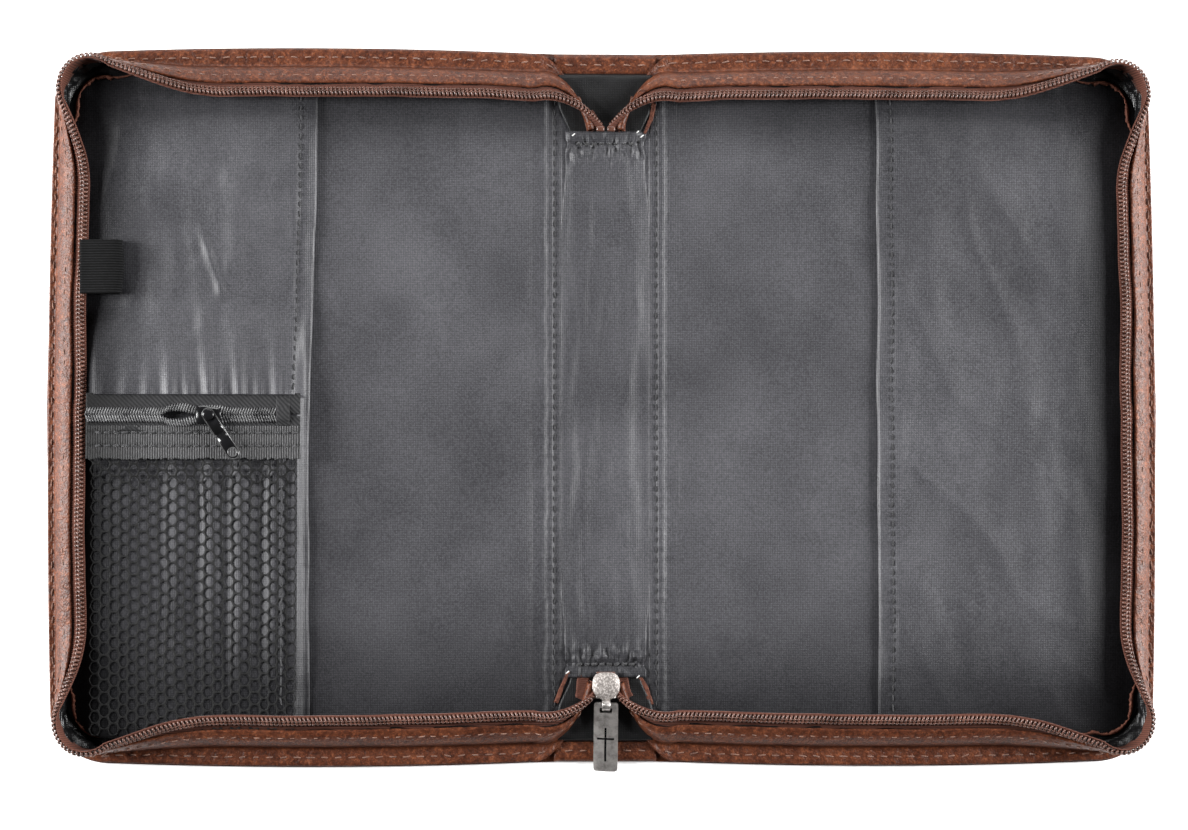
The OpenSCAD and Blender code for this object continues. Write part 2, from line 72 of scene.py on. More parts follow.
HALF_H = high("back_skin")[1]
EDGE_X = high("back_skin")[0]
HINGE_X = (low("back_hinge_crease")[0] + high("back_hinge_crease")[0]) / 2
SKIN_T = high("back_skin")[2]
FLOOR_Z = high("back_lining")[2]
CORNER_R = 21.0
BOW = 1.5
RIM_X0 = HINGE_X + 6
HEM_DROP = 1.7
ARC_X = EDGE_X - BOW - CORNER_R
ARC_Y = HALF_H - BOW - CORNER_R

# The gusset's cross-section, as in the CAD
FOOT_ENDS, FOOT_SIDE, FOOT_CORNER = 7.0, 3.0, 2.4
BEND_Z = FLOOR_Z + 0.5
WALL_W, WALL_LEAN = 8.0, math.radians(48)
LEAN_CORNER = math.radians(-12)
ZIP_LEAN, ZIP_LEAN_CORNER = math.radians(65), math.radians(-8)
COIL_W = 4.0
CORNER_FADE = 45.0
APEX_Y = high("zip_stops")[1]
SPINE_Y = high("spine_board")[1]
STRIP_Y0, STRIP_Y1 = low("spine_strip")[1], high("spine_strip")[1]
STRIP_HALF = high("spine_strip")[0]


def smooth(t):
    c = np.clip(t, 0, 1)
    return c * c * (3 - 2 * c)


def mix(a, b, t):
    return a + (b - a) * t


def unit(v):
    return v / np.maximum(np.linalg.norm(v, axis=-1, keepdims=True), 1e-12)


def points(x, y, z=0.0):
    """Coordinates, each an array or one number, as an array of points."""
    return np.stack(np.broadcast_arrays(x, y, z), -1)


def bell(distance, width, power=2):
    """1 at no distance, and near 0 from about twice the width on."""
    return np.exp(-(distance / width) ** power)


def placed(obj, slot, body, *nodes):
    """Hides the CAD nodes that obj stands for and sets obj on the body that it rides on; slot is not used."""
    if nodes:
        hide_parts(*nodes)
    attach(obj, body)
    return obj


# ---------------------------------------------------------------- meshes

def new_object(name, verts, faces, material):
    mesh = bpy.data.meshes.new(name)
    mesh.from_pydata((np.asarray(verts, float) * MM).tolist(), [], faces)
    mesh.materials.append(material)
    mesh.validate()
    mesh.polygons.foreach_set("use_smooth", [True] * len(mesh.polygons))
    obj = bpy.data.objects.new(name, mesh)
    bpy.context.collection.objects.link(obj)
    return obj


def grid_faces(rows, cols, wrap=False):
    """Quads over a rows x cols lattice of points; wrap closes each row on itself."""
    i = np.arange(rows - 1)[:, None]
    k = np.arange(cols if wrap else cols - 1)[None, :]
    nxt = (k + 1) % cols
    a = i * cols + k
    b = i * cols + nxt
    quads = np.stack([a, b, b + cols, a + cols], axis=-1).reshape(-1, 4)
    return quads.tolist()


def mirrored(place, sign):
    """The same points, with X mirrored where sign is -1."""
    return np.asarray(place, float) * np.array([sign, 1, 1])


def thicken(obj, mm):
    """Adds thickness behind the faces of a sheet."""
    solid = obj.modifiers.new("thickness", "SOLIDIFY")
    solid.thickness = mm * MM
    solid.offset = -1
    return obj


def sheet_object(name, lattice, material, sign=1, thick=0.0):
    """A lattice of points (rows, cols, 3) as a sheet, its face towards +Z, with thickness below it."""
    faces = grid_faces(*lattice.shape[:2])
    p = mirrored(lattice, sign)
    normals = np.cross(p[:-1, 1:] - p[:-1, :-1], p[1:, :-1] - p[:-1, :-1])
    if normals[..., 2].sum() < 0:
        faces = [f[::-1] for f in faces]
    obj = new_object(name, p.reshape(-1, 3), faces, material)
    return thicken(obj, thick) if thick else obj


def tubes(name, centres, across, up, radii, sides, material, sign=1):
    """Many tubes in one mesh. centres is (n, m, 3); across and up span each ring; radii is (n, m, 2)."""
    n, m = centres.shape[:2]
    angle = np.linspace(0, 2 * np.pi, sides, endpoint=False)
    ring = (centres[:, :, None, :]
            + radii[:, :, None, 0:1] * np.cos(angle)[None, None, :, None] * across[:, :, None, :]
            + radii[:, :, None, 1:2] * np.sin(angle)[None, None, :, None] * up[:, :, None, :])
    one = np.array(grid_faces(m, sides, wrap=True))
    faces = (one[None] + (np.arange(n) * m * sides)[:, None, None]).reshape(-1, 4).tolist()
    for i in range(n):
        first = i * m * sides
        last = first + (m - 1) * sides
        faces.append([first + k for k in range(sides)][::-1])
        faces.append([last + k for k in range(sides)])
    obj = new_object(name, mirrored(ring.reshape(-1, 3), sign), faces, material)
    fix_normals(obj)
    return obj


def fix_normals(obj):
    bm = bmesh.new()
    bm.from_mesh(obj.data)
    bmesh.ops.recalc_face_normals(bm, faces=bm.faces)
    bm.to_mesh(obj.data)
    bm.free()


def tube_along(name, path, radius, sides, material):
    """One round tube along a path (m, 3)."""
    tangent = unit(np.gradient(path, axis=0))
    side = unit(np.cross(np.broadcast_to(UP, path.shape), tangent))
    top = np.cross(tangent, side)
    return tubes(name, path[None], side[None], top[None], np.full((1, len(path), 2), radius), sides, material)


def stitches(name, place, tangents, normals, length, radius, material, sign=1, sink=0.3):
    """Sewing stitches: short threads that dive into the cloth at both ends."""
    n = len(place)
    tangents = np.broadcast_to(tangents, place.shape)
    normals = np.broadcast_to(normals, place.shape)
    t = np.linspace(-1, 1, 7)
    jitter = 1 + 0.10 * rng.standard_normal((n, 1, 1))
    swing = 0.12 * rng.standard_normal((n, 1, 1))
    side = unit(np.cross(normals, tangents))
    direction = unit(tangents[:, None, :] + swing * side[:, None, :])
    along = direction * (t[None, :, None] * length / 2 * jitter)
    lift = (1 - t ** 4)[None, :, None] * radius * 0.9 - sink * (t ** 6)[None, :, None]
    centres = place[:, None, :] + along + lift * normals[:, None, :]
    width = np.sqrt(np.clip(1 - 0.75 * t ** 6, 0.05, 1))[None, :, None] * radius
    radii = np.broadcast_to(np.concatenate([width, width], -1), (n, 7, 2))
    across = np.broadcast_to(side[:, None, :], centres.shape)
    up = np.broadcast_to(normals[:, None, :], centres.shape)
    return tubes(name, centres, across, up, radii, 6, material, sign)


def noise_field(place, scale, seed, depth=3):
    """Smooth noise at each point, from -1 to 1; scale is the size of its features, in mm."""
    flat = place.reshape(-1, 3) / scale + seed * 17.3
    value = [noise.fractal(Vector(p), 0.8, 2.0, depth) for p in flat]
    return np.array(value).reshape(place.shape[:-1])


def repaint(node, material):
    """Gives a material to a CAD piece that shows as it is."""
    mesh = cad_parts[node].data
    mesh.materials.clear()
    mesh.materials.append(material)


def join(name, parts):
    """Several objects as one mesh."""
    bpy.ops.object.select_all(action="DESELECT")
    for p in parts:
        p.select_set(True)
    bpy.context.view_layer.objects.active = parts[0]
    bpy.ops.object.join()
    parts[0].name = name
    parts[0].data.name = name
    return parts[0]


# ---------------------------------------------------------------- materials

class Shader:
    """A node material with a Principled shader, and short calls to add and join nodes."""

    def __init__(self, name, roughness, metallic=0.0, sheen=0.0, coat=0.0, specular=0.5):
        self.material = bpy.data.materials.new(name)
        self.material.use_nodes = True
        self.tree = self.material.node_tree
        self.bsdf = self.tree.nodes["Principled BSDF"]
        self.bsdf.inputs["Roughness"].default_value = roughness
        self.bsdf.inputs["Metallic"].default_value = metallic
        self.bsdf.inputs["Sheen Weight"].default_value = sheen
        self.bsdf.inputs["Sheen Roughness"].default_value = 0.35
        self.bsdf.inputs["Coat Weight"].default_value = coat
        self.bsdf.inputs["Coat Roughness"].default_value = 0.3
        self.bsdf.inputs["Specular IOR Level"].default_value = specular
        self.place = self.node("ShaderNodeTexCoord").outputs["Object"]

    def node(self, kind, **inputs):
        made = self.tree.nodes.new(kind)
        for key, value in inputs.items():
            socket = made.inputs[key.replace("_", " ")]
            if isinstance(value, bpy.types.NodeSocket):
                self.tree.links.new(value, socket)
            else:
                socket.default_value = value
        return made

    def noise(self, size, detail=3.0, rough=0.55, distortion=0.0):
        """Noise whose features are about size mm."""
        made = self.node("ShaderNodeTexNoise", Vector=self.place, Scale=1 / (size * MM),
                         Detail=detail, Roughness=rough, Distortion=distortion)
        return made.outputs["Fac"]

    def cells(self, size):
        """Distance from the middle of the nearest cell; cells are about size mm apart."""
        made = self.node("ShaderNodeTexVoronoi", Vector=self.place, Scale=1 / (size * MM))
        return made.outputs["Distance"]

    def ribs(self, pitch, axis, distortion=0.0):
        """Parallel ribs of that pitch in mm, across the axis."""
        made = self.node("ShaderNodeTexWave", Vector=self.place, Scale=1 / (pitch * MM) / 3.1831,
                         Distortion=distortion, Detail=1.0, Detail_Scale=2.0)
        made.wave_type = "BANDS"
        made.bands_direction = axis
        made.wave_profile = "SIN"
        return made.outputs["Fac"]

    def ramp(self, value, *stops):
        made = self.node("ShaderNodeValToRGB", Fac=value)
        ramp = made.color_ramp
        while len(ramp.elements) < len(stops):
            ramp.elements.new(0.5)
        for element, (position, colour) in zip(ramp.elements, stops):
            element.position = position
            element.color = (*colour, 1)
        return made.outputs["Color"]

    def blend(self, factor, a, b, mode="MIX"):
        made = self.tree.nodes.new("ShaderNodeMix")
        made.data_type = "RGBA"
        made.blend_type = mode
        for socket, value in zip((made.inputs[0], made.inputs[6], made.inputs[7]), (factor, a, b)):
            if isinstance(value, bpy.types.NodeSocket):
                self.tree.links.new(value, socket)
            elif isinstance(value, tuple):
                socket.default_value = (*value, 1)
            else:
                socket.default_value = value
        return made.outputs[2]

    def maths(self, operation, a, b=0.0):
        made = self.tree.nodes.new("ShaderNodeMath")
        made.operation = operation
        for socket, value in zip(made.inputs, (a, b)):
            if isinstance(value, bpy.types.NodeSocket):
                self.tree.links.new(value, socket)
            else:
                socket.default_value = value
        return made.outputs[0]

    def span(self, value, lowest, highest):
        made = self.node("ShaderNodeMapRange", Value=value, To_Min=lowest, To_Max=highest)
        return made.outputs["Result"]

    def falloff(self, distance, start, end, least):
        """1 up to start mm, and least from end mm on."""
        made = self.node("ShaderNodeMapRange", Value=distance, From_Min=start * MM, From_Max=end * MM,
                         To_Min=1.0, To_Max=least)
        made.interpolation_type = "SMOOTHSTEP"
        return made.outputs["Result"]

    def painted_rim_shade(self, side=0.2):
        """Painted shade where cloth runs down to the rim walls and lies in their shadow: a factor from 1 to
        side.
        """
        x, y, _ = self.node("ShaderNodeSeparateXYZ", Vector=self.place).outputs
        shade = self.falloff(self.maths("ABSOLUTE", x), 154, 184, side)
        shade = self.maths("MULTIPLY", shade, self.falloff(self.maths("MULTIPLY", y, -1.0), 56, 120, 0.30))
        return self.maths("MULTIPLY", shade, self.falloff(y, 82, 116, 0.35))

    def colour(self, socket):
        self.tree.links.new(socket, self.bsdf.inputs["Base Color"])

    def roughness(self, socket):
        self.tree.links.new(socket, self.bsdf.inputs["Roughness"])

    def bumps(self, *layers):
        """Stacks bumps: each layer is (height socket, depth in mm)."""
        normal = None
        for height, depth in layers:
            made = self.node("ShaderNodeBump", Height=height, Distance=depth * MM, Strength=1.0)
            if normal is not None:
                self.tree.links.new(normal, made.inputs["Normal"])
            normal = made.outputs["Normal"]
        self.tree.links.new(normal, self.bsdf.inputs["Normal"])


def leather(name, dark, mid, light, roughness=0.42, coat=0.03):
    s = Shader(name, roughness, coat=coat, specular=0.28)
    patches = s.noise(22, 4, 0.65)
    streaks = s.noise(4.2, 6, 0.75, 0.8)
    mottle = s.noise(1.5, 4, 0.8)
    base = s.ramp(patches, (0.30, dark), (0.52, mid), (0.74, light))
    fine = s.ramp(streaks, (0.36, dark), (0.50, mid), (0.66, light))
    tone = s.blend(0.62, base, fine)
    deep, pale = tuple(0.55 * c for c in dark), tuple(1.3 * c for c in light)
    worn = s.ramp(mottle, (0.34, deep), (0.52, mid), (0.70, pale))
    tone = s.blend(0.55, tone, worn)
    scratches = s.ramp(s.noise(2.4, 8, 0.8, 2.5), (0.61, (0, 0, 0)), (0.68, (0.7, 0.7, 0.7)))
    tone = s.blend(scratches, tone, tuple(1.7 * c for c in light))
    grain = s.cells(0.8)
    s.colour(tone)
    s.roughness(s.span(streaks, roughness - 0.10, roughness + 0.18))
    s.bumps((s.noise(6, 3), 0.45), (grain, -0.15), (mottle, 0.10))
    return s.material


# The weave's pitch, coarser than real nylon so that it doesn't shimmer
THREAD_PITCH = 0.62


def nylon(name, dark, light, sheen=0.08, roughness=0.44, specular=0.4, painted_shade=False):
    """Plain-woven nylon: fine threads both ways, a soft gloss and faint dusting."""
    s = Shader(name, roughness, sheen=sheen, specular=specular)
    warp = s.ribs(THREAD_PITCH, "X", 0.5)
    weft = s.ribs(THREAD_PITCH, "Y", 0.5)
    weave = s.maths("MULTIPLY", warp, weft)
    cloud = s.noise(30, 4, 0.6)
    speck = s.noise(0.7, 2, 0.7)
    base = s.ramp(cloud, (0.18, dark), (0.82, light))
    base = s.blend(0.45, base, s.ramp(speck, (0.35, dark), (0.65, light)))
    tone = s.blend(1.0, base, s.ramp(weave, (0.0, (0.72, 0.72, 0.72)), (0.7, (1.36, 1.36, 1.36))), "MULTIPLY")
    # Painted shade and light: the colour and the specular level are darkened towards the rim walls and varied
    # in wide lighter and darker patches that stand in for the gloss on gently sloping cloth.
    if painted_shade:
        broad = s.span(s.noise(75, 2, 0.5), 0.62, 1.42)
        shade = s.maths("MULTIPLY", s.painted_rim_shade(), broad)
        tone = s.blend(1.0, tone, shade, "MULTIPLY")
        s.tree.links.new(s.maths("MULTIPLY", shade, specular), s.bsdf.inputs["Specular IOR Level"])
    s.colour(tone)
    s.roughness(s.span(cloud, roughness - 0.08, roughness + 0.08))
    s.bumps((s.noise(8, 4, 0.6), 0.22), (weave, 0.06), (speck, 0.03))
    return s.material


def webbing(name, dark, light, pitch, axis, depth=0.14, roughness=0.75, sheen=0.05, specular=0.3,
            painted_shade=False):
    """Ribbed tape, such as grosgrain, elastic and zip tape."""
    s = Shader(name, roughness, sheen=sheen, specular=specular)
    ribs = s.ribs(pitch, axis, 0.3)
    fluff = s.noise(0.7, 3, 0.7)
    tone = s.blend(fluff, s.ramp(ribs, (0.1, dark), (0.9, light)), dark)
    # Painted shade: the tape's colour can be darkened towards the rim walls, like the lining's.
    s.colour(s.blend(1.0, tone, s.painted_rim_shade(0.1), "MULTIPLY") if painted_shade else tone)
    s.bumps((ribs, depth), (fluff, 0.06))
    return s.material


def plastic(name, dark, light, roughness=0.35):
    s = Shader(name, roughness, coat=0.1)
    cloud = s.noise(6, 3, 0.6)
    s.colour(s.ramp(cloud, (0.3, dark), (0.7, light)))
    s.roughness(s.span(s.noise(1.2, 2), roughness - 0.08, roughness + 0.14))
    s.bumps((s.noise(0.25, 2), 0.02))
    return s.material


def thread(name, dark, light):
    """Twisted sewing thread."""
    s = Shader(name, 0.7, sheen=0.3)
    s.colour(s.ramp(s.noise(3, 2), (0.3, dark), (0.7, light)))
    s.bumps((s.ribs(0.28, "DIAGONAL"), 0.06))
    return s.material


def cast_metal(name, dark, light, pebble=0.0, brushed=False, metallic=1.0, shine=(0.22, 0.46)):
    """Antique silver: bright where it is rubbed and dark in its hollows."""
    s = Shader(name, 0.32, metallic=metallic, specular=0.5)
    cloud = s.noise(4, 5, 0.7)
    scratches = s.noise(0.5, 4, 0.7, 1.5)
    tone = s.ramp(cloud, (0.32, dark), (0.6, light))
    layers = [(scratches, 0.02)]
    if pebble:
        stones = s.cells(pebble)
        tone = s.blend(0.7, tone, s.ramp(stones, (0.15, (1, 1, 1)), (0.62, (0.18, 0.17, 0.16))), "MULTIPLY")
        layers.append((stones, -0.10))
    if brushed:
        layers.append((s.ribs(0.12, "X", 1.2), 0.015))
    s.colour(tone)
    s.roughness(s.span(scratches, *shine))
    s.bumps(*layers)
    return s.material


def matt_fill(name, dark, light, size):
    s = Shader(name, 0.9)
    cloud = s.noise(size, 4, 0.7)
    s.colour(s.ramp(cloud, (0.3, dark), (0.7, light)))
    s.bumps((cloud, 0.1))
    return s.material


BROWN = leather("leather", (0.017, 0.004, 0.002), (0.080, 0.020, 0.007), (0.235, 0.076, 0.031))
RAW = leather("leather_edge", (0.045, 0.013, 0.008), (0.11, 0.036, 0.021), (0.20, 0.08, 0.05), 0.7, 0.0)
GREY = nylon("grey_nylon", (0.017, 0.017, 0.020), (0.090, 0.089, 0.098), 0.06, painted_shade=True)
BLACK = nylon("black_fabric", (0.004, 0.004, 0.004), (0.012, 0.012, 0.013), 0.0, 0.5, specular=0.25)
TAPE = webbing("zip_tape", (0.07, 0.022, 0.013), (0.17, 0.062, 0.04), 0.7, "Y")
COIL = plastic("zip_coil", (0.055, 0.020, 0.012), (0.15, 0.065, 0.045), 0.3)
TAN = thread("thread", (0.10, 0.045, 0.03), (0.27, 0.145, 0.10))
DARK_THREAD = thread("grey_thread", (0.010, 0.010, 0.011), (0.04, 0.04, 0.043))
GLOSSY_BLACK = nylon("glossy_black_fabric", (0.003, 0.003, 0.003), (0.010, 0.010, 0.011), 0.0, 0.28,
                     specular=0.35)
ELASTIC = webbing("elastic", (0.002, 0.002, 0.002), (0.018, 0.018, 0.019), 0.9, "Y", 0.25, 0.85, 0.0, 0.12)
NET = webbing("mesh", (0.005, 0.005, 0.005), (0.028, 0.028, 0.029), 0.5, "Y", 0.05, painted_shade=True)
RIBBON = webbing("black_webbing", (0.006, 0.006, 0.007), (0.19, 0.19, 0.193), 0.86, "X", 0.35, painted_shade=True)
BLACK_TAPE = webbing("black_tape", (0.009, 0.009, 0.010), (0.048, 0.048, 0.050), 0.8, "DIAGONAL", 0.08,
                     painted_shade=True)
CLEAR = plastic("clear_thread", (0.6, 0.6, 0.58), (0.8, 0.8, 0.78), 0.2)
# Painted highlight: the black coil's colour runs up to light grey so that its strokes read as glints.
BLACK_COIL = plastic("black_coil", (0.03, 0.03, 0.032), (0.24, 0.24, 0.243), 0.2)
SILVER = cast_metal("antique_silver", (0.20, 0.185, 0.175), (0.50, 0.47, 0.45), 0.0, True, metallic=0.8,
                    shine=(0.25, 0.45))
PEBBLED = cast_metal("antique_silver_pebbled", (0.42, 0.38, 0.36), (0.60, 0.55, 0.52), 0.66, metallic=0.45,
                     shine=(0.5, 0.62))
ENAMEL = plastic("black_enamel", (0.003, 0.003, 0.003), (0.007, 0.007, 0.008), 0.14)
# Lighter grey enamel for the pocket pull's raised rims.
RIM_ENAMEL = plastic("rim_black_enamel", (0.02, 0.02, 0.02), (0.09, 0.09, 0.09), 0.16)
BOARD = matt_fill("board", (0.30, 0.26, 0.20), (0.42, 0.37, 0.29), 2.0)
FOAM = matt_fill("foam", (0.70, 0.70, 0.66), (0.84, 0.84, 0.80), 1.0)


# ---------------------------------------------------------------- the rim

def edge_path(step=0.5):
    """The cover's outer edge from the hinge's top end to its bottom end: points, inward normals,
    how far each is on the fore edge and how far it is into a corner."""
    n_run = int((ARC_X - RIM_X0) / step)
    t = np.linspace(0, 1, n_run)
    x = mix(RIM_X0, ARC_X, t)
    away = (ARC_X - x) * 0.68 + CORNER_R * np.pi / 4
    run = np.stack([x, HALF_H - BOW * (2 * t - 1) ** 2, 0 * t, -1 + 0 * t, 0 * t, away], -1)
    a = np.linspace(np.pi / 2, 0, int(CORNER_R * np.pi / 2 / step))[1:-1]
    arc = np.stack([ARC_X + CORNER_R * np.cos(a), ARC_Y + CORNER_R * np.sin(a), -np.cos(a), -np.sin(a),
                    smooth(1 - a / (np.pi / 2)), CORNER_R * np.abs(a - np.pi / 4)], -1)
    t = np.linspace(0, 1, int(2 * ARC_Y / step))
    y = mix(ARC_Y, -ARC_Y, t)
    away = ARC_Y - np.abs(y) + CORNER_R * np.pi / 4
    side = np.stack([EDGE_X - BOW * (2 * t - 1) ** 2, y, -1 + 0 * t, 0 * t, 1 + 0 * t, away], -1)
    half = np.concatenate([run, arc])
    other = half[::-1] * np.array([1, -1, 1, -1, 1, 1])
    path = np.concatenate([half, side, other])
    path[:, 5] = 1 - smooth(path[:, 5] / CORNER_FADE)
    return path


def bezier(p0, p1, p2, p3, t):
    t = t[:, None]
    return (1 - t) ** 3 * p0 + 3 * (1 - t) ** 2 * t * p1 + 3 * (1 - t) * t ** 2 * p2 + t ** 3 * p3


class Rim:
    """The curves that the gusset and the zip follow, from the top apex, round the cover, to the bottom
    apex: the foot of the wall, its bend, its top edge, and both edges of the zip's coil."""

    def __init__(self):
        path = edge_path()
        s_side, s_corner = path[:, 4], path[:, 5]
        foot = mix(mix(FOOT_ENDS, FOOT_SIDE, s_side), FOOT_CORNER, s_corner)
        lean = mix(WALL_LEAN, LEAN_CORNER, s_corner)
        zip_lean = mix(ZIP_LEAN, ZIP_LEAN_CORNER, s_corner)
        wobble = noise_field(points(path[:, 0], path[:, 1]), 30, 1)

        def at(e, z):
            return points(path[:, 0] + e * path[:, 2], path[:, 1] + e * path[:, 3], z)

        lean = lean + 0.10 * wobble * (1 - s_corner)
        e_top = foot + 0.3 + WALL_W * np.sin(lean)
        z_top = BEND_Z + WALL_W * np.cos(lean)
        e_in = e_top + 1.25 * np.cos(lean)
        z_in = z_top - 1.25 * np.sin(lean)
        curves = {
            "edge": at(0.3, 2 * SKIN_T),
            "foot": at(foot - 0.2, 2 * SKIN_T),
            "bend": at(foot + 0.3, BEND_Z),
            "top": at(e_top, z_top),
            "coil_out": at(e_in + 0.4 * np.sin(zip_lean), z_in + 0.4 * np.cos(zip_lean)),
            "coil_in": at(e_in + (0.5 + COIL_W) * np.sin(zip_lean), z_in + (0.5 + COIL_W) * np.cos(zip_lean)),
        }
        # Each tail turns over on its way to the apex, so that the coil ends facing the other cover's
        tails = {
            "edge": [(19.0, HALF_H - 0.6, 3.3), (9.0, HALF_H - 14.5, 5.2), (5.8, APEX_Y - 1.3, 5.4)],
            "foot": [(16.0, HALF_H - 5.5, 3.3), (8.3, HALF_H - 16.2, 5.2), (5.6, APEX_Y - 1.5, 5.4)],
            "bend": [(15.0, HALF_H - 7.0, 5.4), (8.0, HALF_H - 17.0, 5.4), (5.5, APEX_Y - 1.6, 5.4)],
            "top": [(16.5, HALF_H - 11.6, 10.8), (7.7, HALF_H - 19.3, 9.4), (4.4, APEX_Y - 1.2, 6.6)],
            "coil_out": [(16.5, HALF_H - 13.6, 10.4), (8.0, HALF_H - 20.0, 9.6), (4.1, APEX_Y - 1.0, 7.0)],
            "coil_in": [(17.5, HALF_H - 17.8, 12.3), (8.6, HALF_H - 21.5, 11.4), (0.9, APEX_Y, 8.3)],
        }
        self.curves = {}
        t = np.linspace(1, 0, 70)[:-1]
        for key, curve in curves.items():
            near, far, end = (np.array(point) for point in tails[key])
            top_tail = bezier(curve[0], near, far, end, t)
            bottom_tail = top_tail[::-1] * np.array([1, -1, 1])
            self.curves[key] = np.concatenate([top_tail, curve, bottom_tail])
        n = len(t)
        pad = np.zeros(n)
        self.corner = np.concatenate([pad, s_corner, pad])
        self.tail = np.concatenate([t, 0 * s_corner, t[::-1]])
        middle = (self.curves["top"] + self.curves["bend"]) / 2
        self.length = np.concatenate([[0], np.cumsum(np.linalg.norm(np.diff(middle, axis=0), axis=1))])

    def take(self, key, s):
        source = self.curves[key]
        return np.stack([np.interp(s, self.length, source[:, i]) for i in range(3)], -1)

    def value(self, array, s):
        return np.interp(s, self.length, array)


rim = Rim()
RIM_L = rim.length[-1]
TAIL_L = rim.length[69]
SIDES = (("front", -1, "front_cover"), ("back", 1, "back_cover"))
# Where the rim's tails and the hinge lining bend, as distances from the spine's middle
RIM_FOLD = (6, RIM_X0 + 2)
HINGE_FOLD = (HINGE_X - 2.5, HINGE_X + 5)


def fold(obj, sign, body, inner, outer):
    """Bakes obj's placement into its mesh and does not bend it; sign, body, inner and outer, in mm from the
    spine's middle, are not used.
    """
    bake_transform(obj)


# ---------------------------------------------------------------- leather

def edge_outline():
    """The cover's outer edge as a run of points, from the spine's middle and back to it."""
    xy = edge_path(1.6)[:, :2]
    spine_y = HALF_H - HEM_DROP
    lead = np.linspace(0, RIM_X0 - 0.5, 16)
    y = spine_y + (xy[0, 1] - spine_y) * smooth((lead - HINGE_X + 3) / 8)
    first = np.stack([lead, y], -1)
    last = first[::-1] * np.array([1, -1])
    return np.concatenate([first, xy, last])


def outer_leather(side, sign, body):
    """The outer leather, from the spine's middle to the cover's edge, as one sheet."""
    xs = np.concatenate([np.linspace(0, 16, 7), np.linspace(17, 25, 13), np.linspace(27, EDGE_X, 84)])
    outline = edge_outline()
    top = outline[:len(outline) // 2]
    order = np.argsort(top[:, 0], kind="stable")
    limit = np.interp(xs, top[order, 0], top[order, 1])
    corner = np.clip((xs - (EDGE_X - BOW - CORNER_R)) / CORNER_R, 0, 1)
    rounded = ARC_Y + CORNER_R * np.sqrt(np.clip(1 - corner ** 2, 0, 1))
    limit = np.where(corner > 0, np.minimum(limit, rounded), limit)
    v = np.linspace(-1, 1, 120)
    x = np.repeat(xs[:, None], len(v), 1)
    y = limit[:, None] * v[None]
    side_bow = BOW * (np.clip(y / ARC_Y, -1, 1)) ** 2
    x = np.where(x > ARC_X, x - side_bow * (x - ARC_X) / (EDGE_X - ARC_X) * (np.abs(y) < ARC_Y + 1), x)
    z = np.full_like(x, SKIN_T)
    obj = sheet_object(f"{side}_outer_leather", points(x, y, z), BROWN, sign, SKIN_T)
    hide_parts(f"{side}_skin", f"{side}_hinge_crease", *(["spine_skin"] if sign < 0 else []))
    fold(obj, sign, body, HINGE_X - 2, HINGE_X + 4)


def gusset(side, sign, body):
    """The leather strip round the cover: a stitched flange, a bend and a wall that leans in."""
    s = np.linspace(0, RIM_L, 760)
    edge, foot, bend, top = (rim.take(k, s) for k in ("edge", "foot", "bend", "top"))
    tail = rim.value(rim.tail, s)[:, None]
    out = unit(foot - edge + 1e-9)
    rows = [edge - [0, 0, 0.25], edge + out * 0.5 + [0, 0, 0.05],
            mix(edge, foot, 0.35), mix(edge, foot, 0.75), foot]
    rows.append(mix(foot, bend, 0.45) + out * 0.1)
    rows.append(bend)
    for share in (0.15, 0.3, 0.45, 0.6, 0.75, 0.9):
        bulge = np.sin(np.pi * share) * (0.9 + 0.9 * tail) * np.array([0, 0, 1.0])
        rows.append(mix(bend, top, share) + bulge - out * np.sin(np.pi * share) * 0.5)
    rows.append(top)
    p = np.stack(rows, 1)
    depth = noise_field(p * np.array([1, 1, 2.0]), 11, 3, 4)
    pucker = np.sin(2 * np.pi * s / 4.8)
    weight = np.array([0, 0.1, 0.25, 0.3, 0.5, 0.8, 0.9, 1, 1, 1, 0.9, 0.7, 0.4, 0.1])
    p[..., 2] += 0.42 * depth * weight
    p[:, 2:4, 2] += 0.10 * pucker[:, None]
    obj = sheet_object(f"{side}_gusset_leather", p, BROWN, sign)
    thicken(obj, 1.05)
    obj.modifiers.new("round", "SUBSURF").levels = 1
    obj.modifiers["round"].render_levels = 1
    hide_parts(f"{side}_gusset")
    fold(obj, sign, body, *RIM_FOLD)


def gusset_stitches(side, sign, body):
    """The flange's topstitch and the zip's topstitch, each stitch a piece of tan thread."""
    parts = []
    s = np.arange(TAIL_L - 6, RIM_L - TAIL_L + 6, 4.8)
    edge, foot = rim.take("edge", s), rim.take("foot", s)
    gap = np.linalg.norm(foot - edge, axis=1)[:, None]
    share = (np.clip((gap - 0.9) / np.maximum(gap, 0.1), 0.2, 1)
             * np.minimum(1, 3.1 / np.maximum(gap - 0.9, 0.1)))
    point = mix(edge, foot, np.clip(share, 0.2, 0.72)) + [0, 0, 0.12]
    tangent = unit(rim.take("edge", s + 0.5) - rim.take("edge", s - 0.5))
    parts.append(stitches("s1", point, tangent, UP, 2.7, 0.22, TAN, sign))
    s = np.arange(12, RIM_L - 12, 4.1)
    bend, top = rim.take("bend", s), rim.take("top", s)
    tangent = unit(rim.take("top", s + 0.5) - rim.take("top", s - 0.5))
    normal = unit(np.cross(top - bend, tangent))
    outward = unit(rim.take("edge", s) - rim.take("foot", s))
    normal = unit(normal + 0.35 * outward)
    point = mix(bend, top, 0.66) + normal * 0.75
    parts.append(stitches("s2", point, tangent, normal, 2.3, 0.2, TAN, sign))
    obj = join(f"{side}_gusset_thread", parts)
    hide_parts(f"{side}_stitches")
    fold(obj, sign, body, *RIM_FOLD)


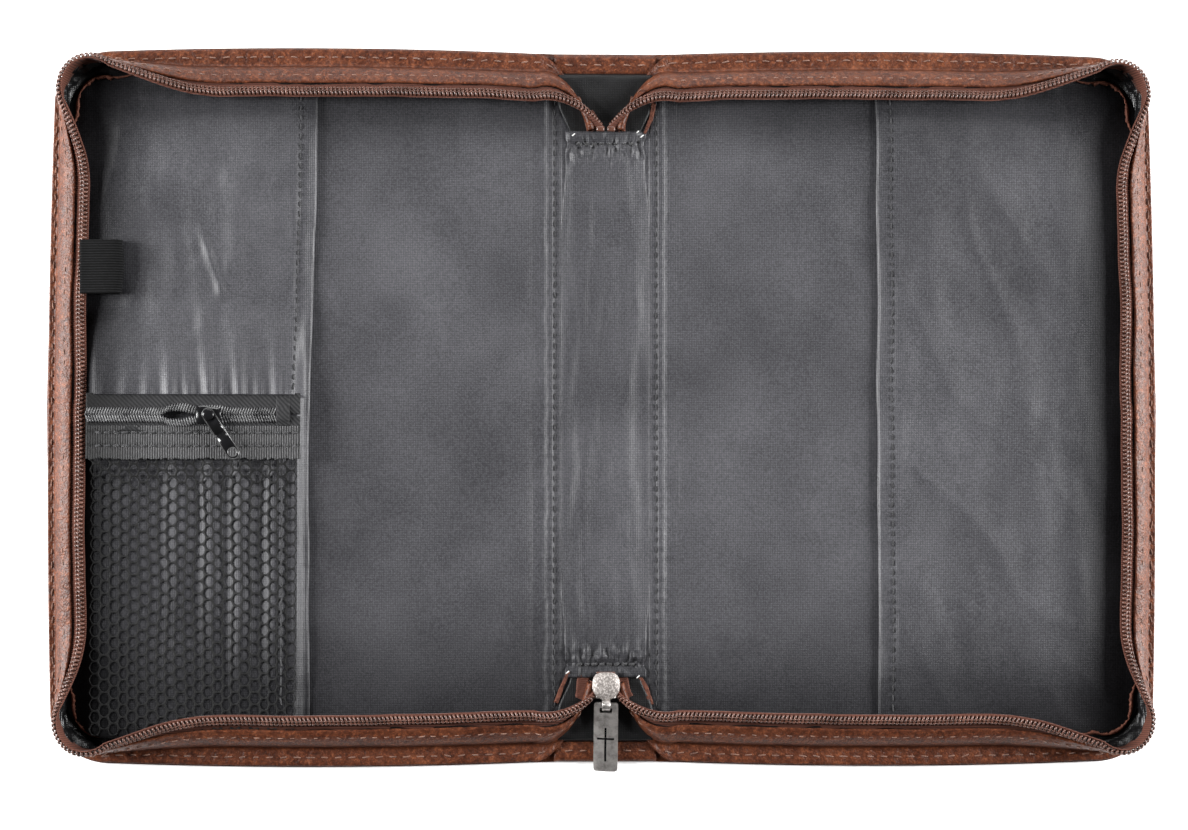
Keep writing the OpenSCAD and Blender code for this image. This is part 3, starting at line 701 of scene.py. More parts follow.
def gusset_lining(side, sign, body):
    """The black lining on the wall's inner face, loose and crumpled, down to the tray."""
    s = np.linspace(14, RIM_L - 14, 620)
    bend, top = rim.take("bend", s), rim.take("top", s)
    inward = unit((rim.take("foot", s) - rim.take("edge", s)) * [1, 1, 0])
    start = top - unit(top - bend) * 1.2 + inward * 1.7 - [0, 0, 0.6]
    floor = rim.take("foot", s) + inward * 4.2
    floor[:, 2] = FLOOR_Z + 0.35
    rows = [mix(start, floor, t) - inward * (math.sin(math.pi * t) * 1.0) for t in np.linspace(0, 1, 9)]
    rows.append(floor + inward * mix(4.0, 1.9, rim.value(rim.corner, s)[:, None]) - [0, 0, 0.1])
    p = np.stack(rows, 1)
    crumple = noise_field(p * [1, 1, 1.6], 6.5, 5, 4) * (1 + 1.1 * rim.value(rim.corner, s)[:, None])
    weight = np.array([0.1, 0.5, 0.9, 1, 1, 1, 1, 0.8, 0.5, 0.1])
    p += inward[:, None, :] * (0.9 * crumple * weight)[..., None]
    p[..., 2] += 0.35 * crumple * weight
    p[..., 2] = np.maximum(p[..., 2], FLOOR_Z + 0.1)
    obj = sheet_object(f"{side}_gusset_cloth", p, GLOSSY_BLACK, sign)
    thicken(obj, 0.2)
    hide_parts(f"{side}_gusset_lining")
    fold(obj, sign, body, *RIM_FOLD)


def seam_edges(side, sign, body):
    """Raw, frayed leather edges that show inside the two corners."""
    parts = []
    for k in (1, -1):
        middle = rim.length[np.argmax(rim.corner if k > 0 else rim.corner[::-1])]
        middle = middle if k > 0 else RIM_L - middle
        s = np.linspace(middle - 24, middle + 24, 90)
        foot = rim.take("foot", s)
        inward = unit((foot - rim.take("edge", s)) * [1, 1, 0])
        fray = noise_field(foot, 2.2, 9 + k, 3)[:, None]
        ends = smooth((24 - np.abs(s - middle)) / 8)[:, None]
        rows = []
        for t, lift in ((0, 0.1), (0.35, 1.0), (0.7, 1.2), (1.0, 0.6)):
            reach = mix(4.4, 5.8, ends) + t * (1.3 + 0.8 * fray) * (0.4 + 0.6 * ends)
            rows.append(foot * [1, 1, 0] + inward * reach + [0, 0, FLOOR_Z + 0.5 + lift]
                        + [0, 0, 1] * fray * 0.35)
        p = np.stack(rows, 1)
        parts.append(sheet_object(f"r{k}", p, RAW, sign))
    obj = join(f"{side}_raw_edges", parts)
    thicken(obj, 0.5)
    placed(obj, "leather_edge", body, f"{side}_seam_edges")


# ---------------------------------------------------------------- the main zip

def zip_tape(side, sign, body):
    s = np.linspace(0, RIM_L, 640)
    bend, top = rim.take("bend", s), rim.take("top", s)
    outer, inner = rim.take("coil_out", s), rim.take("coil_in", s)
    down = unit(bend - top)
    inward = unit((rim.take("foot", s) - rim.take("edge", s)) * [1, 1, 0] + 1e-9)
    start = top + down * 4.5 + inward * 1.3 - [0, 0, 0.4]
    rows = [start, mix(start, outer, 0.5), mix(start, outer, 0.85), outer, mix(outer, inner, 0.35),
            mix(outer, inner, 0.7), inner + unit(inner - outer) * 0.25]
    p = np.stack(rows, 1)
    p[..., 2] += 0.12 * noise_field(p, 9, 12, 2)
    obj = sheet_object(f"{side}_zip_ribbon", p, TAPE, sign)
    thicken(obj, 0.4)
    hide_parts(f"{side}_zip_tape")
    fold(obj, sign, body, *RIM_FOLD)


def coil_frame(s):
    """Centre of the coil, its direction across the tape, and the tape's outward normal, at s."""
    outer, inner = rim.take("coil_out", s), rim.take("coil_in", s)
    across = unit(inner - outer)
    ahead = rim.take("coil_out", s + 0.6) - rim.take("coil_out", s - 0.6)
    return mix(outer, inner, 0.6), across, unit(np.cross(across, ahead))


def helix(name, s, centre, across, normal, pitch, half_w, half_t, wire, material, sign=1):
    """A zip coil: one filament wound round the tape's edge."""
    turn = 2 * np.pi * s / pitch
    path = (centre + across * (half_w * np.cos(turn))[:, None]
            + normal * (half_t * (1.0 + np.sin(turn)))[:, None])
    tangent = unit(np.gradient(path, axis=0))
    radial = across * np.cos(turn)[:, None] + normal * np.sin(turn)[:, None]
    radial = unit(radial - (radial * tangent).sum(-1, keepdims=True) * tangent)
    other = np.cross(tangent, radial)
    radii = np.full((1, len(s), 2), wire)
    return tubes(name, path[None], radial[None], other[None], radii, 6, material, sign)


def zip_coil(side, sign, body):
    """The coil with its two rows of sewing thread over it."""
    pitch = 1.45
    s = np.arange(0.6, RIM_L - 0.6, pitch / 10)
    centre, across, normal = coil_frame(s)
    parts = [helix("c", s, centre, across, normal, pitch, 1.4, 0.62, 0.42, COIL, sign)]
    s = np.arange(0.6, RIM_L - 0.6, pitch)
    centre, across, normal = coil_frame(s)
    tangent = unit(np.cross(normal, across))
    for shift in (-0.65, 0.4):
        point = centre + across * shift + normal * 1.42
        parts.append(stitches("t", point, tangent, normal, pitch * 1.1, 0.22, COIL, sign, 0.35))
    obj = join(f"{side}_zip_teeth", parts)
    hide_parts(f"{side}_zip_coil", f"{side}_tail_top", f"{side}_tail_bottom")
    fold(obj, sign, body, *RIM_FOLD)


# ---------------------------------------------------------------- fabric

def wrinkles(x, y, scale, stretch, seed, depth=3):
    """Soft folds that run along Y: features are stretch times longer that way."""
    p = points(x, y / stretch)
    return noise_field(p, scale, seed, depth)


def ridge(value, sharp=1.5):
    """Turns smooth noise into creases with soft valleys."""
    return 1 - np.clip(np.abs(value) * sharp, 0, 1) ** 0.7


def cover_grid(x0, step, ends_in, side_in):
    """A lattice inside the rim, with rounded outer corners, as x and y."""
    x1 = EDGE_X - side_in
    xs = np.linspace(x0, x1, int((x1 - x0) / step) + 1)
    limit = HALF_H - ends_in
    r = 20.0
    corner = np.clip((xs - (x1 - r)) / r, 0, 1)
    top = limit - r + r * np.sqrt(np.clip(1 - corner ** 2, 0, 1))
    v = np.linspace(-1, 1, int(2 * limit / step) + 1)
    x = np.repeat(xs[:, None], len(v), 1)
    return x, top[:, None] * v[None]


def edge_distance(x, y, ends_in, side_in):
    """Distance from the nearest sewn edge: the top, the bottom and the fore edge."""
    dx = EDGE_X - side_in - x
    dy = HALF_H - ends_in - np.abs(y)
    return np.minimum(dx, dy)


def lining_height(x, y, seed):
    d = edge_distance(x, y, 9, 6)
    near_hinge = smooth(1 - (x - HINGE_X - 5) / 22)
    puckers = ridge(wrinkles(y, x, 7, 3, seed)) * near_hinge * smooth((x - HINGE_X - 6) / 5)
    rise = smooth(np.minimum(d, x - HINGE_X - 4) / 16)
    soft = 0.6 * wrinkles(x, y, 34, 1.8, seed + 1, 3)
    sunk = 0.35 * smooth(1 - (x - HINGE_X - 5.2) / 9) + 0.5 * smooth(1 - (x - HINGE_X - 5.2) / 1.8)
    folds = 0.30 * ridge(wrinkles(y, x, 9, 2.6, seed + 4), 1.7) * np.exp(-np.clip(d, 0, None) / 9)
    soft = soft * smooth(d / 6) * smooth((x - HINGE_X - 5.2) / 6)
    folds = folds * smooth(d / 3) * smooth((x - HINGE_X - 6) / 8)
    return FLOOR_Z - 0.2 - sunk + 0.40 * rise + soft + 0.22 * puckers + folds


def cover_lining(side, sign, body):
    x, y = cover_grid(HINGE_X + 5.2, 1.7, 8.5, 5.0)
    z = lining_height(x, y, 20 + sign)
    obj = sheet_object(f"{side}_lining_cloth", points(x, y, z), GREY, sign, 0.25)
    placed(obj, "grey_nylon", body, f"{side}_lining")


def padding(side, sign, body):
    """The foam pad under the lining, crowned and thin at its edges."""
    x, y = cover_grid(HINGE_X + 5.8, 4.0, 9.0, 5.6)
    rise = smooth(np.minimum(edge_distance(x, y, 9, 5.6), x - HINGE_X - 5.6) / 12)
    z = FLOOR_Z - 1.3 + 0.9 * rise
    obj = sheet_object(f"{side}_padding", points(x, y, z), FOAM, sign)
    thicken(obj, 0.55)
    placed(obj, "foam", body, f"{side}_foam")


def hinge_lining(side, sign, body):
    """The lining's pinched ridge and stitch row over the hinge."""
    y = np.linspace(-HALF_H + 13, HALF_H - 13, 300)
    profile = [(-4.2, -0.75), (-3.4, -0.32), (-2.5, -0.12), (-1.8, -0.1), (-1.2, -0.24), (-0.7, -0.04),
               (-0.2, 0.22), (0.5, 0.30), (1.2, 0.24), (1.8, 0.02), (2.4, -0.25), (3.2, -0.36),
               (4.4, -0.40), (5.6, -0.46), (7.4, -0.58), (8.4, -0.9)]
    rows = []
    for dx, dz in profile:
        line = points(HINGE_X + dx, y, FLOOR_Z + dz)
        rows.append(line)
    p = np.stack(rows, 1)
    n = noise_field(p * [1, 1, 0], 9, 31 + sign, 3)
    dx = p[..., 0] - HINGE_X
    calm = smooth((4.2 - dx) / 2) * smooth((dx + 3.0) / 1.4)
    p[..., 0] += 0.3 * n * calm
    p[..., 2] += (0.16 * n + 0.07 * np.sin(2 * np.pi * y / 3.6)[:, None]) * calm
    obj = sheet_object(f"{side}_hinge_cloth", p, GREY, sign, 0.3)
    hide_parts(f"{side}_hinge_lining")
    fold(obj, sign, body, *HINGE_FOLD)
    ys = np.arange(-HALF_H + 15, HALF_H - 15, 3.6)
    point = points(HINGE_X - 1.1, ys, FLOOR_Z - 0.12)
    sewn = stitches(f"{side}_hinge_thread", point, ALONG_Y, UP, 2.5, 0.2, DARK_THREAD, sign)
    fold(sewn, sign, body, *HINGE_FOLD)


POCKET_X0, POCKET_X1 = -high("pocket_mesh")[0], -low("pocket_mesh")[0]
POCKET_Y0 = low("pocket_mesh")[1]
BAND_Y0, BAND_Y1 = low("pocket_band")[1], high("pocket_band")[1]
TAPE_Y1 = high("pocket_tape_upper")[1]
TAPE_Z = low("pocket_band")[2]


def pocket_folds(x):
    """Height of the pocket's gathered folds, which run along Y, at x."""
    height = np.zeros_like(x)
    for peak, width, rise in ((108.2, 1.8, 0.9), (115.9, 3.2, 1.5), (127.7, 3.8, 1.6), (137.8, 3.8, 1.4),
                              (149.2, 5.0, 1.2), (167.5, 9.0, 1.0)):
        height = np.maximum(height, rise * bell(x - peak, width))
    return height


def pocket_fade(x, y):
    """How strong the pocket's folds are: they sink towards its lower end, and sooner at the fore edge."""
    reach = mix(30, 85, smooth((x - 128) / 22))
    return 0.12 + 0.88 * smooth((y - POCKET_Y0 + 1) / reach)


def gathers(x, y):
    """Folds in the sleeve's cloth that start at its seam with the pocket zip and die out above it."""
    up = np.clip(y - TAPE_Y1, 0, None)
    total = np.zeros_like(x)
    for peak, width, rise, reach, slope in (
            (110.8, 1.5, 0.9, 10, 0.0), (115.0, 1.7, 1.5, 26, 0.02), (121.2, 1.6, 1.1, 12, 0.05),
            (128.1, 2.0, 1.9, 34, 0.06), (133.6, 1.5, 1.1, 12, 0.0), (138.7, 2.0, 1.8, 44, 0.07),
            (145.6, 1.9, 1.4, 18, 0.10), (152.4, 2.3, 1.8, 30, 0.03), (160.0, 2.2, 1.2, 16, -0.04),
            (167.5, 2.4, 1.0, 14, -0.08), (175.5, 2.2, 0.8, 10, -0.05)):
        spread = width * (1 + up / 30)
        total += rise * np.exp(-up / reach) * bell(x - peak - slope * up, spread)
    return total


def sleeve_rows(limit, step, split=None):
    """The Y of each row of a sleeve, with close rows at its seam with the pocket zip."""
    if split is None:
        return np.linspace(-limit, limit, int(2 * limit / step) + 1)
    low_rows = np.linspace(-limit, split - 1.2, int((limit + split) / step))
    high_rows = np.linspace(split + 0.8, limit, int((limit - split) / step))
    return np.concatenate([low_rows, [split - 0.5, split - 0.2, split, split + 0.25], high_rows])


def sleeve(side, sign, body, hem_in):
    """A sleeve: sewn down on three sides, with a turned hem and a stitch row at its free edge."""
    x0 = low(f"{side}_sleeve")[0] if sign > 0 else -high(f"{side}_sleeve")[0]
    x1, limit, r = EDGE_X - 6.5, HALF_H - 10.5, 17.0
    seam = TAPE_Y1 if sign < 0 else None
    step = 0.9 if sign < 0 else 1.3
    xs = np.linspace(x0, x1, int((x1 - x0) / step) + 1)
    ys = sleeve_rows(limit, 1.3, seam)
    corner = np.clip((xs - (x1 - r)) / r, 0, 1)
    ratio = (limit - r + r * np.sqrt(1 - corner ** 2)) / limit
    x = np.repeat(xs[:, None], len(ys), 1)
    y = ys[None] * (1 - (1 - ratio)[:, None] * (ys[None] / limit) ** 2)
    wave = 1.0 * wrinkles(y, 0, 60, 1, 41 + sign, 2) - (2.2 * smooth((y - 5) / 80) if sign < 0 else 0)
    x = x + wave * smooth(1 - (x - x0) / 20)
    inside = x - x0 - wave
    d = np.minimum(np.minimum(x1 - x, limit - np.abs(y)), 60)
    z = FLOOR_Z + 0.7 + 3.2 * smooth(d / 26) * smooth((inside + 6) / 16)
    rough = 0.5 if sign > 0 else 0.75
    z += rough * wrinkles(x, y, 17, 2.4, 50 + sign, 3) * smooth(d / 8)
    z += rough * (ridge(wrinkles(x + 0.45 * y, y, 34, 2.4, 53 + sign, 2), 2.6) - 0.3) * smooth(d / 12)
    z += 0.35 * ridge(wrinkles(y, x, 9, 4, 55 + sign), 1.6) * np.exp(-inside / 9)
    z += 0.30 * ridge(wrinkles(x, y, 7, 3, 57 + sign), 1.5) * np.exp(-(limit - np.abs(y)) / 8)
    if sign < 0:
        across = smooth((x - POCKET_X0 + 1.5) / 4) * smooth((POCKET_X1 + 2 - x) / 5)
        above = y >= TAPE_Y1 - 0.01
        lift = smooth(1 - (y - TAPE_Y1) / 36) * across
        raised = mix(z, TAPE_Z + 0.55, lift) + gathers(x, y) * across
        under = mix(z, 9.25 + pocket_folds(x) * pocket_fade(x, y), across)
        z = np.where(above, raised, np.where(y > TAPE_Y1 - 0.3, mix(z, TAPE_Z + 0.1, across), under))
        crease = bell(x - mix(142.0, 134.5, np.clip((61 - y) / 23, 0, 1)), 1.6)
        z += 0.9 * crease * smooth((y - 34) / 8) * smooth((66 - y) / 10)
    pinch = 0.5 + 0.5 * np.cos(2 * np.pi * y / 3.4 + 1.5 * wave)
    z += 0.30 * (inside < hem_in + 0.3) - 0.50 * bell(inside - hem_in, 0.8)
    z += 0.42 * pinch * bell(inside - hem_in - 1.8, 1.6)
    z += 0.15 * pinch * bell(inside - hem_in + 1.4, 1.2)
    obj = sheet_object(f"{side}_sleeve_cloth", points(x, y, z), GREY, sign, 0.3)
    placed(obj, "grey_nylon", body, f"{side}_sleeve", f"{side}_sleeve_seam")
    rows = np.arange(-limit + 3.5, limit - 3.5, 3.4)
    column = int(np.argmin(np.abs(xs - x0 - hem_in)))
    px = np.interp(rows, y[column], x[column])
    pz = np.interp(rows, y[column], z[column])
    point = points(px, rows, pz + 0.12)
    if sign < 0:
        point = point[rows > TAPE_Y1 + 1]
    sewn = stitches(f"{side}_sleeve_thread", point, ALONG_Y, UP, 2.5, 0.26, DARK_THREAD, sign)
    placed(sewn, "grey_thread", body, f"{side}_sleeve_stitches")


for side, sign, body in SIDES:
    outer_leather(side, sign, body)
    gusset(side, sign, body)
    gusset_stitches(side, sign, body)
    gusset_lining(side, sign, body)
    seam_edges(side, sign, body)
    zip_tape(side, sign, body)
    zip_coil(side, sign, body)
    padding(side, sign, body)
    cover_lining(side, sign, body)
    hinge_lining(side, sign, body)
    sleeve(side, sign, body, 5.2 if sign < 0 else 4.6)
    repaint(f"{side}_board", BOARD)


# ---------------------------------------------------------------- spine

def patch(x0, x1, y0, y1, step):
    """A rectangular lattice, as x and y."""
    xs = np.linspace(x0, x1, max(3, int(abs(x1 - x0) / step) + 1))
    ys = np.linspace(y0, y1, max(3, int(abs(y1 - y0) / step) + 1))
    return np.meshgrid(xs, ys, indexing="ij")


def row_of_stitches(name, start, end, pitch, length, radius, material, sign=1):
    start, end = np.array(start, float), np.array(end, float)
    n = max(2, int(np.linalg.norm(end - start) / pitch))
    point = mix(start, end, ((np.arange(n) + 0.5) / n)[:, None])
    return stitches(name, point, unit(end - start), UP, length, radius, material, sign)


def spine_hems():
    """The spine leather turned in at both ends, each turn with its row of stitches."""
    parts, sewn = [], []
    for k in (1, -1):
        y1 = HALF_H - HEM_DROP
        x, y = patch(-HINGE_X + 1, HINGE_X - 1, y1 - 8.0, y1, 0.9)
        d = np.minimum(y - (y1 - 8.0), y1 - y)
        z = 1.5 + 0.9 * smooth(d / 1.4) + 0.18 * noise_field(points(x, y * k), 7, 61, 3)
        y = y + 0.35 * noise_field(points(x, 0, k), 5, 62, 2) * smooth(1 - (y - y1 + 8.0) / 3)
        parts.append(sheet_object("h", points(x, k * y, z), BROWN))
        mid = k * (y1 - 3.9)
        sewn.append(row_of_stitches("t", (-15.5, mid, 2.45), (15.5, mid, 2.45), 4.8, 2.7, 0.22, TAN))
    hems = thicken(join("spine_hem_leather", parts), 1.0)
    placed(hems, "leather", "spine", "spine_hems")
    thread_row = join("spine_hem_thread", sewn)
    placed(thread_row, "thread", "spine")


def spine_cloth():
    """The spine's lining over its pad, black at the two ends, with a strip of cloth over its middle."""
    x, y = patch(-HINGE_X + 2.2, HINGE_X - 2.2, -SPINE_Y + 0.5, SPINE_Y - 0.5, 3)
    pad = thicken(sheet_object("spine_padding", points(x, y, 3.9), FOAM), 0.7)
    placed(pad, "foam", "spine", "spine_foam")
    half = HINGE_X - 1.0
    x, y = patch(-half, half, -SPINE_Y, SPINE_Y, 1.3)
    z = 4.5 + 0.12 * wrinkles(x, y, 9, 3, 71) - 0.5 * smooth((np.abs(x) - half + 2) / 2)
    lining = thicken(sheet_object("spine_lining_cloth", points(x, y, z), GREY), 0.25)
    placed(lining, "grey_nylon", "spine", "spine_lining")

    ends = []
    for k in (1, -1):
        x, y = patch(-16.8, 16.8, STRIP_Y1 - 3, SPINE_Y + 1.2, 0.9)
        x = x * mix(0.72, 1, smooth((y - STRIP_Y1 + 2) / 14))
        crumple = noise_field(points(x, k * y), 7, 73 + k, 4)
        z = 4.75 + 0.35 * smooth((SPINE_Y - y) / 8) + 0.32 * crumple * smooth((SPINE_Y + 1 - y) / 3)
        z -= 2.4 * smooth((y - SPINE_Y) / 1.1)
        ends.append(sheet_object("e", points(x, k * y, z), BLACK))
    end_cloth = thicken(join("spine_end_cloth", ends), 0.2)
    placed(end_cloth, "black_fabric", "spine", "spine_end_linings")

    x, y = patch(-STRIP_HALF, STRIP_HALF, STRIP_Y0, STRIP_Y1 + 0.9, 0.62)
    into = np.minimum(y - STRIP_Y0, STRIP_Y1 + 0.9 - y)
    wide = 1 + 0.135 * smooth((86 - np.abs(y)) / 26)
    side = (STRIP_HALF - np.abs(x)) * wide
    long_folds = wrinkles(x, y, 8, 5, 77, 3)
    row_top, row_low = bell(y - 92.8, 1.5), bell(y + 91.0, 1.5)
    pucker = noise_field(points(x * 1.2, y * 0.45), 1.9, 79, 3)
    near_row = bell(y - 91.5, 5) + bell(y + 89.5, 5)
    flatter = smooth((90 - np.abs(y)) / 12)
    raised = 5.15 + 0.75 * smooth(side / 4)
    pressed = 4.45 + 0.3 * smooth(side / 1.3) + 1.0 * smooth(side / 9)
    z = mix(raised, pressed, flatter) + 0.6 * long_folds * smooth(side / 6)
    z += (-1.0 * (row_top + row_low) * (0.7 + 0.3 * pucker) + 1.35 * pucker * near_row
          + 0.2 * smooth(1 - into / 3))
    ragged = 0.3 * wrinkles(y, 0, 22, 1, 81, 2) * np.sign(x) * smooth(1 - side / 3)
    x = x * wide * (1 - 0.05 * (row_top + row_low)) + ragged
    strip = thicken(sheet_object("spine_strip_cloth", points(x, y, np.maximum(z, 4.4)), GREY), 0.3)
    placed(strip, "black_fabric", "spine", "spine_strip")
    sewn = join("spine_strip_thread", [
        row_of_stitches("a", (-10.5, 92.8, 5.2), (10.5, 92.8, 5.2), 2.6, 2.2, 0.45, DARK_THREAD),
        row_of_stitches("b", (-10.5, -91.0, 5.2), (10.5, -91.0, 5.2), 2.6, 2.2, 0.45, DARK_THREAD)])
    placed(sewn, "grey_thread", "spine", "spine_strip_tacks")


def ribbon_piece(name, centre, half_w, material, thick=0.35, fray=0.25):
    """A short length of tape along a path, with frayed edges; half_w is its half width at each point."""
    t = np.linspace(0, 1, 16)
    keys = np.linspace(0, 1, len(centre))
    path = np.stack([np.interp(t, keys, np.array(centre, float)[:, i]) for i in range(3)], -1)
    side = unit(np.cross(np.gradient(path, axis=0), [0, 0, 1.0]))
    across = np.linspace(-1, 1, 7)
    width = np.interp(t, keys, half_w)
    p = path[:, None, :] + side[:, None, :] * (across[None, :, None] * width[:, None, None])
    p = p + fray * noise_field(p, 1.1, 5, 2)[..., None] * np.array([1, 1, 0.5])
    return thicken(sheet_object(name, p, material), thick)


def tape_ends():
    """The zip tape's cut ends under the strip, narrow bindings beside them, and the lining's tie dots."""
    parts = [
        ribbon_piece("a", [(-6.0, 104.2, 6.6), (-4.6, 100.5, 6.0), (-3.6, 96.6, 5.5)], (1.6, 2.4, 2.9), TAPE),
        ribbon_piece("b", [(6.4, 103.4, 6.6), (5.4, 100.5, 6.0), (4.8, 96.8, 5.5)], (1.2, 1.9, 2.2), TAPE),
        ribbon_piece("c", [(-9.2, -103.0, 6.6), (-8.4, -100.2, 6.0), (-7.6, -95.0, 5.5)],
                     (1.5, 2.0, 2.3), TAPE),
        ribbon_piece("d", [(8.2, -102.6, 6.6), (6.6, -99.5, 6.0), (5.2, -95.0, 5.5)], (1.5, 2.0, 2.2), TAPE),
    ]
    bindings = [
        ribbon_piece("e", [(17.2, 107.6, 5.1), (16.2, 102.0, 5.25), (13.9, 96.6, 5.5)],
                     (0.9, 0.75, 0.5), RAW, 0.4, 0.15),
        ribbon_piece("f", [(-13.0, -93.6, 5.5), (-15.4, -99.0, 5.25), (-17.4, -104.6, 5.1)],
                     (0.5, 0.7, 0.85), RAW, 0.4, 0.15),
        ribbon_piece("g", [(11.6, -94.6, 5.5), (14.2, -99.0, 5.3), (16.0, -105.2, 5.1)],
                     (0.5, 0.8, 1.0), RAW, 0.4, 0.15),
    ]
    tape = join("zip_tape_end_pieces", parts)
    placed(tape, "zip_tape", "spine", "zip_tape_ends")
    binding = join("spine_end_bindings", bindings)
    placed(binding, "leather_edge", "spine")
    beads = []
    for x, y in ((-11.3, 96.0), (11.3, 97.0), (13.0, 95.6), (-13.4, -93.8), (11.4, -95.4)):
        t = np.linspace(-1, 1, 9)
        path = points(x + 0.45 * t, y + 0.4 * t, 6.2 - 0.3 * t ** 2)
        beads.append(tube_along("b", path, 0.22, 8, CLEAR))
    ties = join("spine_tie_threads", beads)
    placed(ties, "thread", "spine")


def rounded_block(name, low_corner, high_corner, material, bevel, sign=1):
    """A block with rounded edges."""
    a, b = np.array(low_corner, float), np.array(high_corner, float)
    corners = [[(a, b)[i][0], (a, b)[j][1], (a, b)[k][2]] for i in (0, 1) for j in (0, 1) for k in (0, 1)]
    faces = [(0, 1, 3, 2), (4, 6, 7, 5), (0, 4, 5, 1), (2, 3, 7, 6), (0, 2, 6, 4), (1, 5, 7, 3)]
    obj = new_object(name, mirrored(corners, sign), faces, material)
    fix_normals(obj)
    soft = obj.modifiers.new("soft", "BEVEL")
    soft.width = bevel * MM
    soft.segments = 3
    return obj


def applied(obj):
    """The same object with its modifiers worked into its mesh."""
    graph = bpy.context.evaluated_depsgraph_get()
    mesh = bpy.data.meshes.new_from_object(obj.evaluated_get(graph))
    obj.modifiers.clear()
    obj.data = mesh
    return obj


def zip_stops():
    z = 8.0
    parts = [applied(rounded_block("s", (0.5, APEX_Y - 1.7, z - 0.9), (3.3, APEX_Y + 0.2, z + 1.0), COIL,
                                   0.5, k))
             for k in (1, -1)]
    parts.append(applied(rounded_block("s", (-3.3, -94.3, 5.7), (3.3, -93.6, 8.6), COIL, 0.3)))
    obj = join("zip_stop_beads", parts)
    placed(obj, "zip_coil", "spine", "zip_stops")


# ---------------------------------------------------------------- main slider and pull tab

def softened(node, name, material, width, body):
    """A copy of a metal node's shape with its edges rounded."""
    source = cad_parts[node]
    obj = bpy.data.objects.new(name, source.data.copy())
    obj.matrix_world = source.matrix_world.copy()
    bpy.context.collection.objects.link(obj)
    obj.data.materials.clear()
    obj.data.materials.append(material)
    bm = bmesh.new()
    bm.from_mesh(obj.data)
    bmesh.ops.remove_doubles(bm, verts=bm.verts, dist=1e-6)
    bmesh.ops.dissolve_limit(bm, angle_limit=math.radians(2), verts=bm.verts, edges=bm.edges)
    bm.to_mesh(obj.data)
    bm.free()
    soft = obj.modifiers.new("soft", "BEVEL")
    soft.width = width * MM
    soft.segments = 3
    soft.limit_method = "ANGLE"
    soft.angle_limit = math.radians(35)
    soft.harden_normals = True
    obj.data.polygons.foreach_set("use_smooth", [True] * len(obj.data.polygons))
    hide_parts(node)
    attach(obj, body)
    return obj


def slider_cap():
    """The pebbled cap: straight at its top end, round at its lower end, and domed."""
    lo, hi = low("zip_slider_cap"), high("zip_slider_cap")
    r = (hi[0] - lo[0]) / 2
    cy = lo[1] + r
    rings, spokes = 44, 180
    a = np.linspace(0, 2 * np.pi, spokes, endpoint=False)
    ox, oy = r * np.sin(a), -r * np.cos(a)
    upper = oy > 0
    tall = (hi[1] - cy) / r
    p = 3.2
    shoulder = r * np.sign(np.sin(a)) * np.abs(np.sin(a)) ** (2 / p) * (1 - 0.06 * np.abs(np.cos(a)))
    ox = np.where(upper, shoulder, ox)
    oy = np.where(upper, r * tall * np.abs(np.cos(a)) ** (2 / p), oy)
    rows = []
    top = hi[2] - 0.25
    for t in np.linspace(0.02, 1, rings):
        x, y = ox * t, cy + oy * t
        z = top - 1.0 * t ** 4 - 0.25 * t ** 2
        rows.append(points(x, y, z))
    rows.append(points(ox, cy + oy, lo[2] + 0.1))
    rows.append(points(ox * 0.02, cy + oy * 0.02, lo[2]))
    v = np.stack(rows)
    inner = v[:rings - 2]
    flat = inner.reshape(-1, 3)
    d = np.array([noise.voronoi(Vector((q[0], q[1], 0)) / 0.62)[0][0] for q in flat])
    lift = 0.09 * (1 - np.clip(d / 0.5, 0, 1) ** 2)
    inner[..., 2] += lift.reshape(inner.shape[:2]) * np.linspace(1, 0.6, rings - 2)[:, None]
    faces = grid_faces(len(v), spokes, wrap=True)
    faces.append(list(range(spokes))[::-1])
    faces.append([(len(v) - 1) * spokes + k for k in range(spokes)])
    obj = new_object("zip_slider_dome", v.reshape(-1, 3), faces, PEBBLED)
    fix_normals(obj)
    placed(obj, "antique_silver", "zip_slider", "zip_slider_cap")


